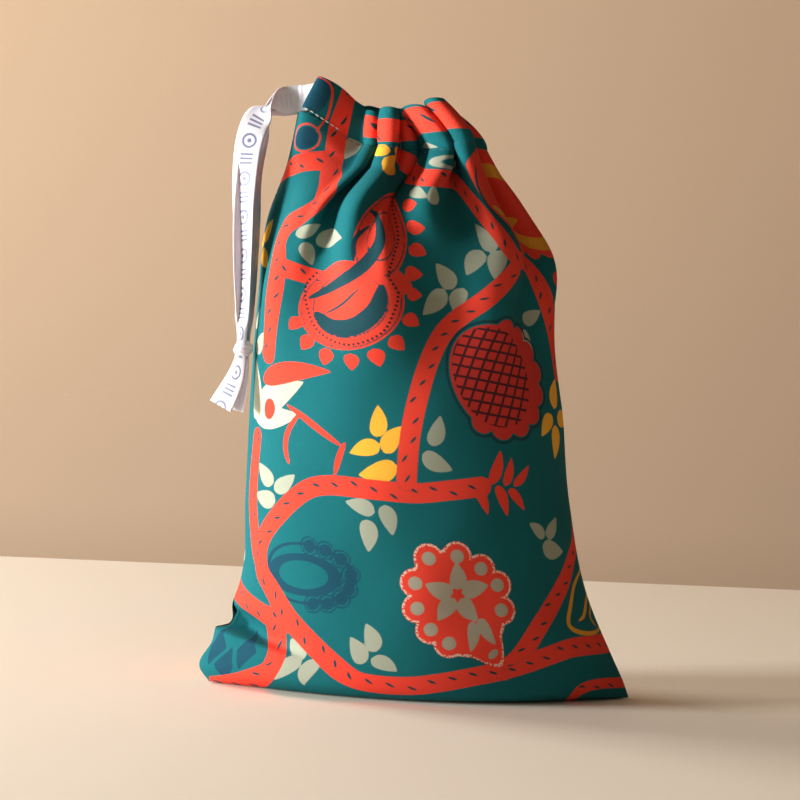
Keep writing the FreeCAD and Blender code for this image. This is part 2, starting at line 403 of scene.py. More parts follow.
    def ear(self, points: np.ndarray, side: Side) -> np.ndarray:
        """The creased left bottom corner: a flat ear, with a dent pushed in above its crease.

        Args:
            points: Points of the wall, with Y positive outwards.
            side: Which panel.

        Returns:
            The moved points.
        """
        x, y, z = points.T
        crease = 19.0 - 0.24 * (x + 65.0)
        above = z - crease
        reach = 1 - smoothstep(-58.0, -36.0, x)
        depth = 9.0 if side is Side.FRONT else 4.0
        dent = depth * reach * np.exp(-(((above - 2.4) / 4.4) ** 2)) * smoothstep(-0.8, 1.4, above)
        lip = 1.6 * reach * np.exp(-((above / 4.0) ** 2)) * (1 - smoothstep(-0.4, 0.8, above))
        inwards = np.minimum(dent, 0.9 * y + 0.2)
        moved_y = y - inwards + lip * (1 - smoothstep(-62, -70, x) * 0.6)
        moved_x = x + np.minimum(dent, 4.6) * (
            1 - smoothstep(-61.0, -50.0, x)
        ) * 0.7 - lip * 0.8 * (1 - smoothstep(-66.0, -58.0, x))
        return np.stack([moved_x, moved_y, z], axis=1)

    def unevenness(self, side: Side, v: float) -> np.ndarray:
        """Soft uneven hollows of hand-filled cloth, in millimetres along the normal."""
        rng = np.random.default_rng(11 if side is Side.FRONT else 23)
        out = np.zeros_like(self.u)
        for _ in range(self.hollows):
            wave, tilt = rng.uniform(26, 75), rng.uniform(0, math.pi)
            phase = rng.uniform(0, 2 * math.pi)
            out += np.sin(
                2 * math.pi / wave * (self.u * math.cos(tilt) + v * math.sin(tilt)) + phase
            ) * wave / 60
        return out * self.hollow_depth

    def wall(self, side: Side, v: float) -> np.ndarray:
        """One row of the panel, from the bottom seam (v 0) to the stitch line under the casing.

        Args:
            side: Which panel.
            v: How far up the cloth the row is.

        Returns:
            Points in millimetres, with Y signed for the side.
        """
        sign = side.value
        span = self.base_v
        if v <= span:
            outline = hermite(self.knots, self.outlines, 0.0)
            share = v / span
            seam_x = self.sections[0].left + (
                self.sections[0].right - self.sections[0].left
            ) * self.u / self.width
            x = seam_x + (outline[:, 0] - seam_x) * share
            edge = np.minimum(self.base_round, outline[:, 1] * 0.4)
            y = (outline[:, 1] - edge) * share
            points = np.stack([x, y, np.full_like(x, 0.4)], axis=1)
        else:
            z = (v - span) / self.wall_length() * self.neck_z
            base, normal, proud = self.row(side, z)
            edge = np.minimum(self.base_round, hermite(self.knots, self.outlines, 0.0)[:, 1] * 0.4)
            low = np.clip((edge - z) / np.maximum(edge, 0.01), 0, 1)
            inset = edge * (1 - np.sqrt(1 - low**2))
            lift = self.top_lift(side) * smoothstep(105.0, self.neck_z, z)
            bump = self.unevenness(side, v) * smoothstep(4, 30, z) * (1 - smoothstep(165, 188, z))
            plan = base + normal * (proud + bump * self.seam_window(14.0) - inset)[:, None]
            plan += self.own_normal(plan) * (self.swell * self.gathered() * smoothstep(160, 190, z))[:, None]
            points = np.stack(
                [plan[:, 0], np.maximum(plan[:, 1], 0.0), np.full_like(self.u, z) + lift + 0.4], axis=1
            )
            points = self.ear(points, side)
        points[:, 1] = np.maximum(
            points[:, 1], 0.25 * smoothstep(0, 3, self.u) * smoothstep(0, 3, self.width - self.u)
        )
        points[:, 1] *= sign
        return points

    def wall_length(self) -> float:
        """Cloth from the base's edge to the stitch line."""
        return self.neck_z + self.slope_cloth

    def casing_row(self, side: Side, turn: float, thick: float = 2.6) -> np.ndarray:
        """One row of the casing: from the stitch line, over the top edge and down inside to the stitch line.

        Args:
            side: Which panel.
            turn: 0 at the stitch line outside, 0.5 on the top edge, 1 back at the stitch line inside.
            thick: How thick the casing is at its middle.

        Returns:
            Points in millimetres, with Y signed for the side.
        """
        around = (turn * 2 - 0.5) * math.pi
        swing = math.cos(around)
        out = self.swell * self.gathered() + thick * (
            0.2 * swing**2 if swing > 0 else -0.8 * abs(swing) ** 0.6
        )
        share = 0.5 + 0.5 * math.copysign(abs(math.sin(around)) ** 0.8, math.sin(around))
        base, normal, proud = self.row(side, self.neck_z)
        line = base + normal * (
            proud * (1 - 0.12 * share + 0.08 * math.sin(math.pi * share)) - 0.8 * share**2
        )[:, None]
        own = self.own_normal(line)
        plan = line + own * np.broadcast_to(out, self.u.shape)[:, None]
        plan[:, 0] += self.casing_lean(share)
        ridge = np.clip(proud / max(proud.max(), 1.0), -1, 1)
        dome = 3.6 * (ridge - 0.6) * smoothstep(24, 36, self.u) * share**2
        slit = 1.5 * (1 - smoothstep(6.0, 18.0, self.u)) * (1 - share) ** 2
        z = self.neck_z + 0.4 + self.top_lift(side) + self.casing * share + dome + slit
        points = np.stack([plan[:, 0], np.maximum(plan[:, 1], 0.3), z], axis=1)
        points[:, 1] *= side.value
        return points

    def own_normal(self, line: np.ndarray) -> np.ndarray:
        """The outward normal of a row of cloth in plan, at each of its points."""
        tangent = np.gradient(line, self.u, axis=0)
        own = np.stack([-tangent[:, 1], tangent[:, 0]], axis=1)
        return own / np.maximum(np.linalg.norm(own, axis=1, keepdims=True), 1e-6)

    def gathered(self) -> np.ndarray:
        """1 where the cloth is gathered on the ribbon, and 0 on the flat flap and at the seam."""
        return smoothstep(27.0, 33.0, self.u) * (1 - smoothstep(144.0, 149.0, self.u))

    def casing_lean(self, share: float) -> np.ndarray:
        """How far the casing leans along X at a share of its height: the flap right, the gathers left."""
        flap = 5.0 * (1 - smoothstep(8.0, 34.0, self.u))
        gathers = 10.0 * smoothstep(58.0, 78.0, self.u)
        return flap * share - gathers * share**1.35


# ---- the print ----------------------------------------------------------------------------------
class Ink(Enum):
    """The printing inks, each with its colour on the teal ground."""

    NAVY = "#0B4257"
    STONE = "#9DA594"
    YELLOW = "#F3B53A"
    CREAM = "#B7B9A7"
    CORAL = "#E5402F"
    RED = "#C9352E"
    MUSTARD = "#DC9A2C"
    SHADOW = "#123E49"
    STONE_SPOT = "#A5A08F"
    PALE = "#E3C9B8"


Point = tuple[float, float]
BACK_PRINT_TOP = 247.0  # where the back's print is turned round, in millimetres up the cloth


@dataclass
class PrintedLayout:
    """The botanical print, as the distance inside each ink's shapes at every point of the cloth.

    Places are millimetres across and up the cut panel. Distances are positive inside a shape.
    """

    u: np.ndarray
    v: np.ndarray
    inks: dict[Ink, np.ndarray] = field(init=False)
    along: np.ndarray = field(init=False)
    across: np.ndarray = field(init=False)
    bead_along: np.ndarray = field(init=False)
    bead_across: np.ndarray = field(init=False)
    lattice: np.ndarray = field(init=False)

    def __post_init__(self) -> None:
        """Starts with bare cloth."""
        blank = np.full(self.u.shape, -8.0)
        self.inks = {ink: blank.copy() for ink in Ink}
        self.along, self.across = np.zeros(self.u.shape), np.full(self.u.shape, 9.0)
        self.bead_along, self.bead_across = np.zeros(self.u.shape), np.full(self.u.shape, 9.0)
        self.lattice = blank.copy()

    def away(self, at: Point) -> np.ndarray:
        """How far the cloth is from a point."""
        return np.hypot(self.u - at[0], self.v - at[1])

    def lay(self, ink: Ink, inside: np.ndarray) -> None:
        """Adds a shape to an ink."""
        self.inks[ink] = np.maximum(self.inks[ink], inside)

    def line(self, points: list[Point], closed: bool = False) -> tuple[np.ndarray, np.ndarray, np.ndarray]:
        """Measures the cloth from a smooth line.

        Args:
            points: The line's points.
            closed: Whether it comes back to its start.

        Returns:
            The distance to the line, the signed distance across it, and how far along it that is.
        """
        knots = np.array(points, float)
        if closed:
            knots = np.concatenate([knots, knots[:1]])
        steps = np.arange(len(knots), dtype=float)
        fine = np.array(
            [hermite(steps, knots, t) for t in np.linspace(0, len(knots) - 1, 6 * (len(knots) - 1) + 1)]
        )
        distance = np.full(self.u.shape, 1e6)
        signed, along, run = np.zeros(self.u.shape), np.zeros(self.u.shape), 0.0
        for a, b in zip(fine[:-1], fine[1:]):
            d = b - a
            long = float(np.hypot(*d)) + 1e-9
            pu, pv = self.u - a[0], self.v - a[1]
            t = np.clip((pu * d[0] + pv * d[1]) / long**2, 0, 1)
            gap = np.hypot(pu - t * d[0], pv - t * d[1])
            nearer = gap < distance
            distance = np.where(nearer, gap, distance)
            signed = np.where(nearer, (pu * d[1] - pv * d[0]) / long, signed)
            along = np.where(nearer, run + t * long, along)
            run += long
        return distance, signed, along

    def branch(self, points: list[Point], wide: float = 6.6) -> None:
        """A coral branch with dark ticks along it.

        Args:
            points: Its middle line.
            wide: Its width.
        """
        distance, signed, along = self.line(points)
        self.lay(Ink.CORAL, wide / 2 - distance)
        nearer = distance < np.abs(self.across)
        self.along = np.where(nearer, along, self.along)
        self.across = np.where(
            nearer, signed + np.copysign(np.maximum(distance - np.abs(signed), 0), signed), self.across
        )

    def vein(self, ink: Ink, points: list[Point], wide: float) -> None:
        """A plain line, thinner towards both of its ends.

        Args:
            ink: Its ink.
            points: Its middle line.
            wide: Its greatest width.
        """
        distance, _, along = self.line(points)
        share = along / max(float(along.max()), 1.0)
        self.lay(ink, wide / 2 * (4 * share * (1 - share)) ** 0.5 - distance)

    def leaf(self, ink: Ink, foot: Point, tip: Point, wide: float = 0.68) -> None:
        """A drop-shaped leaf: round at its foot and pointed at its tip.

        Args:
            ink: Its ink.
            foot: Where its round end is.
            tip: Where its point is.
            wide: Its width as a share of its length.
        """
        long = math.hypot(tip[0] - foot[0], tip[1] - foot[1])
        c, d = (tip[0] - foot[0]) / long, (tip[1] - foot[1]) / long
        p = ((self.u - foot[0]) * c + (self.v - foot[1]) * d) / long
        q = -(self.u - foot[0]) * d + (self.v - foot[1]) * c
        bend = 0.05 * long * np.sin(np.clip(p, 0, 1) * math.pi) * (1 if int(foot[0] + foot[1]) % 2 else -1)
        half = wide * long / 2 * np.clip(p, 0, 1) ** 0.5 * np.clip(1 - p, 0, 1) ** 0.95 / 0.502
        beyond = np.maximum(-p, p - 1) * long
        self.lay(ink, np.where(beyond > 0, -np.hypot(beyond, q), half - np.abs(q - bend)))

    def egg(self, middle: Point, heading: float, long: float, wide: float, point: float = 0.0) -> np.ndarray:
        """Measures the cloth from an oval that may taper towards its heading.

        Args:
            middle: Its middle.
            heading: The way its long side points, in degrees.
            long: Half its length.
            wide: Half its width.
            point: How much it tapers, from 0 to 1.

        Returns:
            The distance inside it.
        """
        turn = math.radians(heading)
        du, dv = self.u - middle[0], self.v - middle[1]
        p = du * math.cos(turn) + dv * math.sin(turn)
        q = -du * math.sin(turn) + dv * math.cos(turn)
        narrow = wide * (1 - point * np.clip(p / long, -1, 1))
        return (1 - np.sqrt((p / long) ** 2 + (q / narrow) ** 2)) * min(long, wide)

    def petals(
        self, ink: Ink, middle: Point, reach: Point, size: float, first: float, last: float, count: int
    ) -> None:
        """Small round petals on an arc of an oval.

        Args:
            ink: Their ink.
            middle: The oval's middle.
            reach: Half its width and half its height, to the petals' middles.
            size: A petal's radius.
            first: The first petal's angle, in degrees.
            last: The last petal's angle.
            count: How many petals.
        """
        for i in range(count):
            turn = math.radians(first + (last - first) * i / (count - 1))
            at = (middle[0] + reach[0] * math.cos(turn), middle[1] + reach[1] * math.sin(turn))
            self.lay(ink, size - self.away(at))

    def beads(self, points: list[Point], closed: bool = False) -> None:
        """A row of small dots along a line."""
        distance, _, along = self.line(points, closed)
        nearer = distance < self.bead_across
        self.bead_along = np.where(nearer, along, self.bead_along)
        self.bead_across = np.where(nearer, distance, self.bead_across)

    def branches(self) -> None:
        """The coral branches that join everything."""
        for line in (
            [
                (96, 101.5), (86, 100), (74, 98.5), (60, 99), (47, 99.5), (39, 98), (33, 94), (27, 88.5),
                (20, 81.5), (16.5, 75), (17, 68), (21.5, 62.5), (28.5, 54.5), (36, 48), (46, 40),
                (54, 34.5), (61, 33), (71, 33), (80, 34.5), (91, 37), (100, 39), (109, 41.5), (121, 45),
                (131, 46.5), (154, 46),
            ],
            [(16, 71), (13.5, 77), (11.5, 89), (11, 100), (11.5, 113)],
            [(-4, 61), (0, 60), (9, 57), (19, 53.5), (29, 51)],
            [(24, 52), (27, 46), (28, 40), (27, 34.5), (19, 30), (11, 27.5), (4, 26)],
            [
                (101, 39), (107, 44.5), (114, 53.5), (121.5, 61), (131.5, 70), (137, 76), (142, 81),
                (147, 89), (154, 97),
            ],
            [
                (71, 100), (72, 114), (73.5, 123), (75.5, 130.5), (78, 138), (81, 145), (85, 152),
                (91, 158.5), (98, 164.5), (104, 171), (110, 178),
            ],
            [
                (60, 221.5), (67, 217.5), (72, 214.5), (80, 212.5), (90, 212), (98, 212), (103, 209),
                (106, 203), (107, 194.5), (109, 185), (113, 181), (121, 181), (126, 178), (130, 170),
                (132.5, 163), (136, 150), (138, 140),
            ],
            [
                (20, 238), (19.5, 230), (20, 221), (22, 213), (28, 207), (31, 201), (28, 195),
                (23.5, 189), (23, 183), (25, 176), (25.5, 167), (24.5, 156), (22.5, 145), (21.5, 141.5),
            ],
            [(21, 213), (14, 209), (7, 205), (0, 202.5), (-4, 201)],
            [(25, 175), (32, 173), (40, 171)],
            [(138, 176), (146, 173.5), (154, 173)],
        ):
            self.branch(line)
        self.branch([(124, 24), (126, 29), (130, 32), (138, 33), (154, 32)], 3.6)
        self.branch([
            (31, 230), (40, 229.5), (50, 228.5), (60, 229.5), (72, 231.5), (84, 231.5), (95, 232),
            (108, 231), (125, 231), (154, 231),
        ], 4.8)
        for foot, tip in (
            ((99.5, 102.5), (103, 114)), ((104.5, 102), (107, 111.5)), ((108, 102), (114.5, 109)),
            ((94, 101.5), (98, 92)), ((101.5, 102), (105, 91.5)), ((106, 101), (112, 93.5)),
        ):
            self.leaf(Ink.CORAL, foot, tip, 0.44)

    def leaves(self) -> None:
        """The stone and yellow leaves between the branches."""
        for foot, tip in (
            ((28.5, 187.5), (37.5, 192.5)), ((37, 186.5), (51.5, 187)), ((32.5, 184.5), (37.5, 176)),
            ((89, 169.5), (83.5, 179.5)), ((86.5, 169), (78.5, 159)), ((92.5, 170), (90, 160)),
            ((102, 184.5), (101.5, 195.5)), ((99, 185), (93.5, 175)), ((105, 185), (102, 174)),
            ((87, 202), (85, 209.5)), ((76, 207.5), (84, 204.5)), ((23.5, 98), (14.5, 104.5)),
            ((24.5, 96), (33, 102)), ((25, 92.5), (13.5, 94)), ((60.5, 91.5), (51, 94.5)),
            ((63.5, 94), (66, 84)), ((58, 89), (57.5, 78)), ((56.5, 40), (51.5, 49)),
            ((60, 44.5), (56, 54)), ((59, 42), (67.5, 38)), ((37.5, 40), (32, 46.5)),
            ((36.5, 40), (29, 31.5)), ((42, 40), (38, 30.5)), ((79.5, 114.5), (82.5, 124.5)),
            ((76.5, 111.5), (86.5, 106.5)), ((120, 84.5), (113.5, 89.5)), ((121.5, 84.5), (128, 91)),
            ((119, 81.5), (131, 79)), ((12, 142), (20, 149)), ((6, 150), (12, 158)),
            ((27, 225), (24.5, 216)), ((2, 70), (-4, 74)), ((136, 196), (131, 186)),
            ((120, 158), (129, 163)), ((119, 155), (123, 147)), ((116, 22), (108, 16)),
        ):
            self.leaf(Ink.STONE, foot, tip)
        for foot, tip in (
            ((61.5, 116.5), (62, 127)), ((64, 111.5), (70, 120.5)), ((62.5, 113.5), (52.5, 110.5)),
            ((68, 107), (55.5, 103.5)), ((131, 122), (130, 110.5)), ((129, 125.5), (121.5, 118.5)),
            ((133, 124.5), (144, 122.5)), ((131, 128), (135, 138)), ((51, 221), (42, 222)),
            ((50, 218.5), (60, 213.5)), ((52, 222.5), (60, 221)), ((3, 178), (-5, 184)),
            ((2, 176), (11, 171)), ((4, 179), (7, 187)),
        ):
            self.leaf(Ink.YELLOW, foot, tip, 0.7)

    def paisley(self) -> None:
        """The tall coral paisley with petals, a dotted border and dark scrolls inside."""
        body = np.maximum(self.egg((53, 161.5), 20, 19.0, 16.5), self.egg((65, 189), 82, 18.0, 9.5))
        self.lay(Ink.CORAL, body)
        self.lay(Ink.SHADOW, 0.22 - np.abs(body - 0.9))
        self.lay(Ink.SHADOW, 0.22 - np.abs(body - 4.4))
        self.leaf(Ink.CORAL, (60, 172), (75, 170), 1.3)
        for foot, tip in (
            ((74.6, 201), (80, 202.5)), ((75.3, 193.5), (81.5, 193)), ((74.8, 185), (80.5, 182.5)),
            ((72.6, 175.5), (79, 174.5)), ((72.8, 166.5), (78.5, 166.5)), ((71.6, 158), (77, 155)),
            ((67.6, 150.5), (71.5, 145.8)), ((61.4, 145.6), (63.5, 139.6)), ((53.8, 143.6), (54, 137.8)),
            ((46.2, 144.6), (44, 139)), ((39.6, 148.6), (36, 144)), ((35.4, 155), (31.6, 151)),
        ):
            self.leaf(Ink.CORAL, foot, tip, 1.15)
        self.beads([
            (70, 204), (71.5, 198), (71.5, 189), (68.5, 180), (67, 173.5), (69.5, 167), (68.5, 160),
            (65, 152), (57.5, 147.5), (50, 147), (41.5, 151.5), (37, 160), (36, 168), (40, 174),
        ])
        for line, wide in (
            ([(37, 163), (46, 168), (54, 172), (60, 178), (64, 187), (63, 196), (59, 199)], 4.4),
            ([(40, 158), (47, 153), (56, 153.5), (63, 160), (65, 170)], 6.4),
            ([(43, 157), (51, 161.5), (58, 168)], 1.0), ([(56, 178), (56, 187), (60, 193)], 1.6),
        ):
            self.vein(Ink.SHADOW, line, wide)

    def lattice_cone(self) -> None:
        """The red cone with a dark lattice."""
        self.lay(Ink.RED, self.egg((103.5, 138), 110, 19.0, 16.5))
        self.petals(Ink.RED, (105, 138), (16.6, 16.8), 4.0, -118, 82, 9)
        self.lattice = np.maximum(self.lattice, self.egg((102.5, 138.5), 110, 17.5, 14.5))
        near = np.hypot(self.u - 104, self.v - 138) < 26
        self.lay(Ink.SHADOW, np.where(near, 0.45 - np.abs(self.inks[Ink.RED] + 1.0), -8.0))

    def spotted_heart(self) -> None:
        """The coral heart with stone spots, a pale beaded edge and a stone flower in it."""
        spots = [
            (77, 77), (86.5, 78), (94.5, 74), (100, 68.5), (101, 60), (72, 68.5), (72.5, 60), (77, 53),
            (83, 48.5),
        ]
        heart = np.maximum(self.egg((86, 62), -60, 19.0, 15.0), self.egg((93, 51), -55, 12.5, 8.0, 0.5))
        for at in spots:
            heart = np.maximum(heart, 5.0 - self.away(at))
            self.lay(Ink.STONE_SPOT, 2.3 - self.away(at))
        self.lay(Ink.CORAL, heart)
        self.lay(Ink.PALE, 0.4 - np.abs(heart - 0.4))
        self.lay(Ink.STONE_SPOT, self.egg((97.5, 45), 45, 2.0, 1.3))
        for turn in range(18, 378, 72):
            c, d = math.cos(math.radians(turn)), math.sin(math.radians(turn))
            self.leaf(Ink.STONE_SPOT, (86 + 1.8 * c, 65 + 1.8 * d), (86 + 11.5 * c, 65 + 11.0 * d), 0.8)
        for foot, tip in (((91, 56), (90, 45.5)), ((93.5, 57), (98.5, 48))):
            self.leaf(Ink.STONE_SPOT, foot, tip, 0.5)

    def tonal_shell(self) -> None:
        """The navy shell that barely shows on the ground."""
        self.lay(Ink.NAVY, 1.2 - np.abs(self.egg((34, 68.5), 0, 11.5, 6.0)))
        self.lay(Ink.NAVY, 0.45 - np.abs(self.egg((36, 69), 0, 16.0, 10.0, 0.1)))
        for at in (
            (37.5, 78.5), (43, 77.5), (48, 75), (51, 70), (50, 65), (47.5, 61.5), (43, 59.5), (38, 59),
        ):
            self.lay(Ink.NAVY, 2.1 - self.away(at))
            self.lay(Ink.NAVY, 0.3 - np.abs(3.0 - self.away(at)))

    def ringed_fruit(self) -> None:
        """The large red fruit with a mustard ring, high on the right."""
        self.lay(Ink.CORAL, self.egg((130, 206), 90, 20.0, 19.0))
        self.petals(Ink.CORAL, (130, 206), (19.0, 19.5), 3.4, -130, -50, 5)
        self.lay(Ink.MUSTARD, 1.9 - np.abs(self.egg((135, 203), 80, 13.5, 10.5, 0.15)))
        self.vein(Ink.MUSTARD, [(113, 201), (118, 197), (126, 196), (134, 199)], 4.6)
        self.vein(Ink.SHADOW, [(116, 216), (112, 208), (111.5, 199), (115, 191), (124, 187)], 0.9)

    def outlined_seed(self) -> None:
        """The mustard outline of a seed, low on the right."""
        self.vein(
            Ink.MUSTARD, [(150, 73), (138, 68), (131, 60), (128, 54.5), (132, 51.5), (141, 50.5), (154, 52)],
            1.7
        )
        self.vein(Ink.MUSTARD, [(151, 64), (143, 61), (137, 56.5), (133, 55)], 1.6)
        self.vein(Ink.MUSTARD, [(145, 52), (142, 56), (148, 60)], 1.2)

    def tulip(self) -> None:
        """The cream flower with a coral petal and coral twigs, at the left."""
        self.leaf(Ink.CREAM, (10, 119), (36, 133), 0.46)
        self.leaf(Ink.CREAM, (9, 121), (34, 122), 0.42)
        self.leaf(Ink.CREAM, (9, 119), (12, 140), 0.42)
        self.leaf(Ink.CORAL, (17, 132.5), (47, 137), 0.3)
        self.lay(Ink.CORAL, self.egg((19.5, 123), 70, 3.6, 3.0))
        self.vein(Ink.CORAL, [(28, 125), (36, 121), (50, 112.5)], 2.2)
        self.vein(Ink.CORAL, [(51, 114), (49, 109), (47.5, 103)], 2.2)
        self.vein(Ink.CORAL, [(34, 123), (29, 116), (28.5, 110), (30.5, 105)], 2.2)

    def small_marks(self) -> None:
        """Pale outlines near the neck, and navy shapes on the left corner and the flap."""
        self.lay(Ink.STONE, 0.55 - np.abs(self.egg((92, 218.3), 0, 8.5, 2.3)))
        self.lay(Ink.STONE, 0.8 - np.hypot((self.u - 92) / 2.2, self.v - 218.3))
        self.leaf(Ink.STONE, (84, 224.5), (72, 226.5), 0.3)
        for at in ((5, 40), (11, 34), (17, 40)):
            self.lay(Ink.NAVY, 4.2 - np.abs(self.u - at[0]) * 1.1 - np.abs(self.v - at[1]) * 0.62)
        self.lay(Ink.NAVY, self.egg((10, 216), 40, 4.6, 3.4))
        self.lay(Ink.NAVY, self.egg((9, 230), 80, 6.5, 4.0))
        self.lay(Ink.CORAL, 0.3 - np.abs(self.egg((10, 216), 40, 5.4, 4.2)))
        self.vein(Ink.CORAL, [(5, 235), (12, 233), (15, 227), (13, 219)], 0.9)

    def draw(self) -> None:
        """Draws the whole print."""
        self.branches()
        self.leaves()
        self.paisley()
        self.lattice_cone()
        self.spotted_heart()
        self.tonal_shell()
        self.ringed_fruit()
        self.outlined_seed()
        self.tulip()
        self.small_marks()


def print_cloth(piece: bpy.types.Object, side: Side, form: PouchForm) -> None:
    """Stores the print's distances on a cloth mesh, for its material to read.

    Args:
        piece: The cloth, with its cut as a UV map in metres.
        side: Which panel it belongs to: the back's cut is turned half way round.
        form: The cloth's shape, for its size.
    """
    mesh = piece.data
    uv = np.zeros(len(mesh.loops) * 2, np.float32)
    mesh.uv_layers["cut"].data.foreach_get("uv", uv)
    corner = np.zeros(len(mesh.loops), np.int32)
    mesh.loops.foreach_get("vertex_index", corner)
    place = np.zeros((len(mesh.vertices), 2))
    place[corner] = uv.reshape(-1, 2) / MM
    if side is Side.BACK:
        place = np.array([form.width, BACK_PRINT_TOP]) - place
    layout = PrintedLayout(place[:, 0], place[:, 1])
    layout.draw()
    ink = layout.inks
    for name, parts in (
        ("ink_a", (ink[Ink.CORAL], ink[Ink.STONE], ink[Ink.YELLOW])),
        ("ink_b", (ink[Ink.NAVY], ink[Ink.CREAM], ink[Ink.MUSTARD])),
        ("ink_c", (ink[Ink.SHADOW], layout.along, layout.across)),
        ("ink_d", (layout.bead_along, layout.bead_across, layout.lattice)),
        ("ink_e", (ink[Ink.RED], ink[Ink.STONE_SPOT], ink[Ink.PALE])),
    ):
        packed = np.stack([np.clip(p, -9, 900) for p in parts], axis=1).astype(np.float32)
        layer = mesh.attributes.new(name, "FLOAT_VECTOR", "POINT")
        layer.data.foreach_set("vector", packed.ravel())


# ---- materials ----------------------------------------------------------------------------------
class Shading:
    """A material's node tree, with one way to add a node."""

    def __init__(self, name: str) -> None:
        """Starts a material with an empty tree but for its shader."""
        self.material = bpy.data.materials.new(name)
        self.material.use_nodes = True
        self.tree = self.material.node_tree
        self.shader = self.tree.nodes["Principled BSDF"]

    def node(
        self, kind: str, inputs: dict | None = None, out: int | str = 0, **settings
    ) -> bpy.types.NodeSocket:
        """Adds a node with its settings and links.

        Args:
            kind: The node's type.
            inputs: Values or sockets for its inputs, by name or number.
            out: Which output to give back.
            **settings: The node's own settings.

        Returns:
            The chosen output socket.
        """
        made = self.tree.nodes.new(kind)
        for key, value in settings.items():
            setattr(made, key, value)
        for key, value in (inputs or {}).items():
            if isinstance(value, bpy.types.NodeSocket):
                self.tree.links.new(value, made.inputs[key])
            else:
                made.inputs[key].default_value = value
        return made.outputs[out]

    def math(self, operation: str, a, b=0.0, c=0.0) -> bpy.types.NodeSocket:
        """A Math node: an operation on up to three values or sockets."""
        return self.node("ShaderNodeMath", {0: a, 1: b, 2: c}, operation=operation)

    def over(self, share, below, above) -> bpy.types.NodeSocket:
        """A colour laid over another by a share from 0 to 1."""
        return self.node(
            "ShaderNodeMix", {"Factor": share, 6: below, 7: above}, out=2, data_type="RGBA", blend_type="MIX"
        )

    def edge(self, inside, soft: float = 0.16) -> bpy.types.NodeSocket:
        """1 inside a shape and 0 outside it, from the distance inside it, with a soft inked edge."""
        steps = {0: inside, 1: -soft, 2: soft, 3: 0.0, 4: 1.0}
        return self.node("ShaderNodeMapRange", steps, interpolation_type="SMOOTHSTEP")

    def split(self, vector: bpy.types.NodeSocket) -> list[bpy.types.NodeSocket]:
        """The three parts of a vector."""
        return list(self.node("ShaderNodeSeparateXYZ", {0: vector}).node.outputs)

    def times(self, a, b) -> bpy.types.NodeSocket:
        """One value multiplied by another."""
        return self.math("MULTIPLY", a, b)

    def less(self, a, b) -> bpy.types.NodeSocket:
        """One value with another taken away."""
        return self.math("SUBTRACT", a, b)

    def plus(self, a, b) -> bpy.types.NodeSocket:
        """The sum of two values."""
        return self.math("ADD", a, b)

    def length(self, a, b) -> bpy.types.NodeSocket:
        """The length of the line whose two legs are given."""
        return self.math("SQRT", self.plus(self.math("POWER", a, 2.0), self.math("POWER", b, 2.0)))

    def repeat(self, along, pitch: float) -> bpy.types.NodeSocket:
        """How far a place is from the middle of its own repeat, for a pattern that repeats at a pitch."""
        return self.times(self.less(self.math("FRACT", self.math("DIVIDE", along, pitch)), 0.5), pitch)

    def bump(self, height: bpy.types.NodeSocket, strength: float, distance: float) -> None:
        """Gives the shader a bump from a height."""
        settings = {"Height": height, "Strength": strength, "Distance": distance}
        self.link(self.node("ShaderNodeBump", settings), "Normal")

    def link(self, value: bpy.types.NodeSocket, name: str) -> None:
        """Links a socket to one of the shader's inputs."""
        self.tree.links.new(value, self.shader.inputs[name])

    def settings(self, **values: float) -> None:
        """Sets the shader's own sockets: underscores in a name stand for spaces."""
        for name, value in values.items():
            self.shader.inputs[name.replace("_", " ")].default_value = value

    def cut_mm(self) -> bpy.types.NodeSocket:
        """The cloth's own flat cut, in millimetres."""
        uv = self.node("ShaderNodeUVMap", uv_map="cut")
        return self.node("ShaderNodeVectorMath", {0: uv, 3: 1000.0}, operation="SCALE")


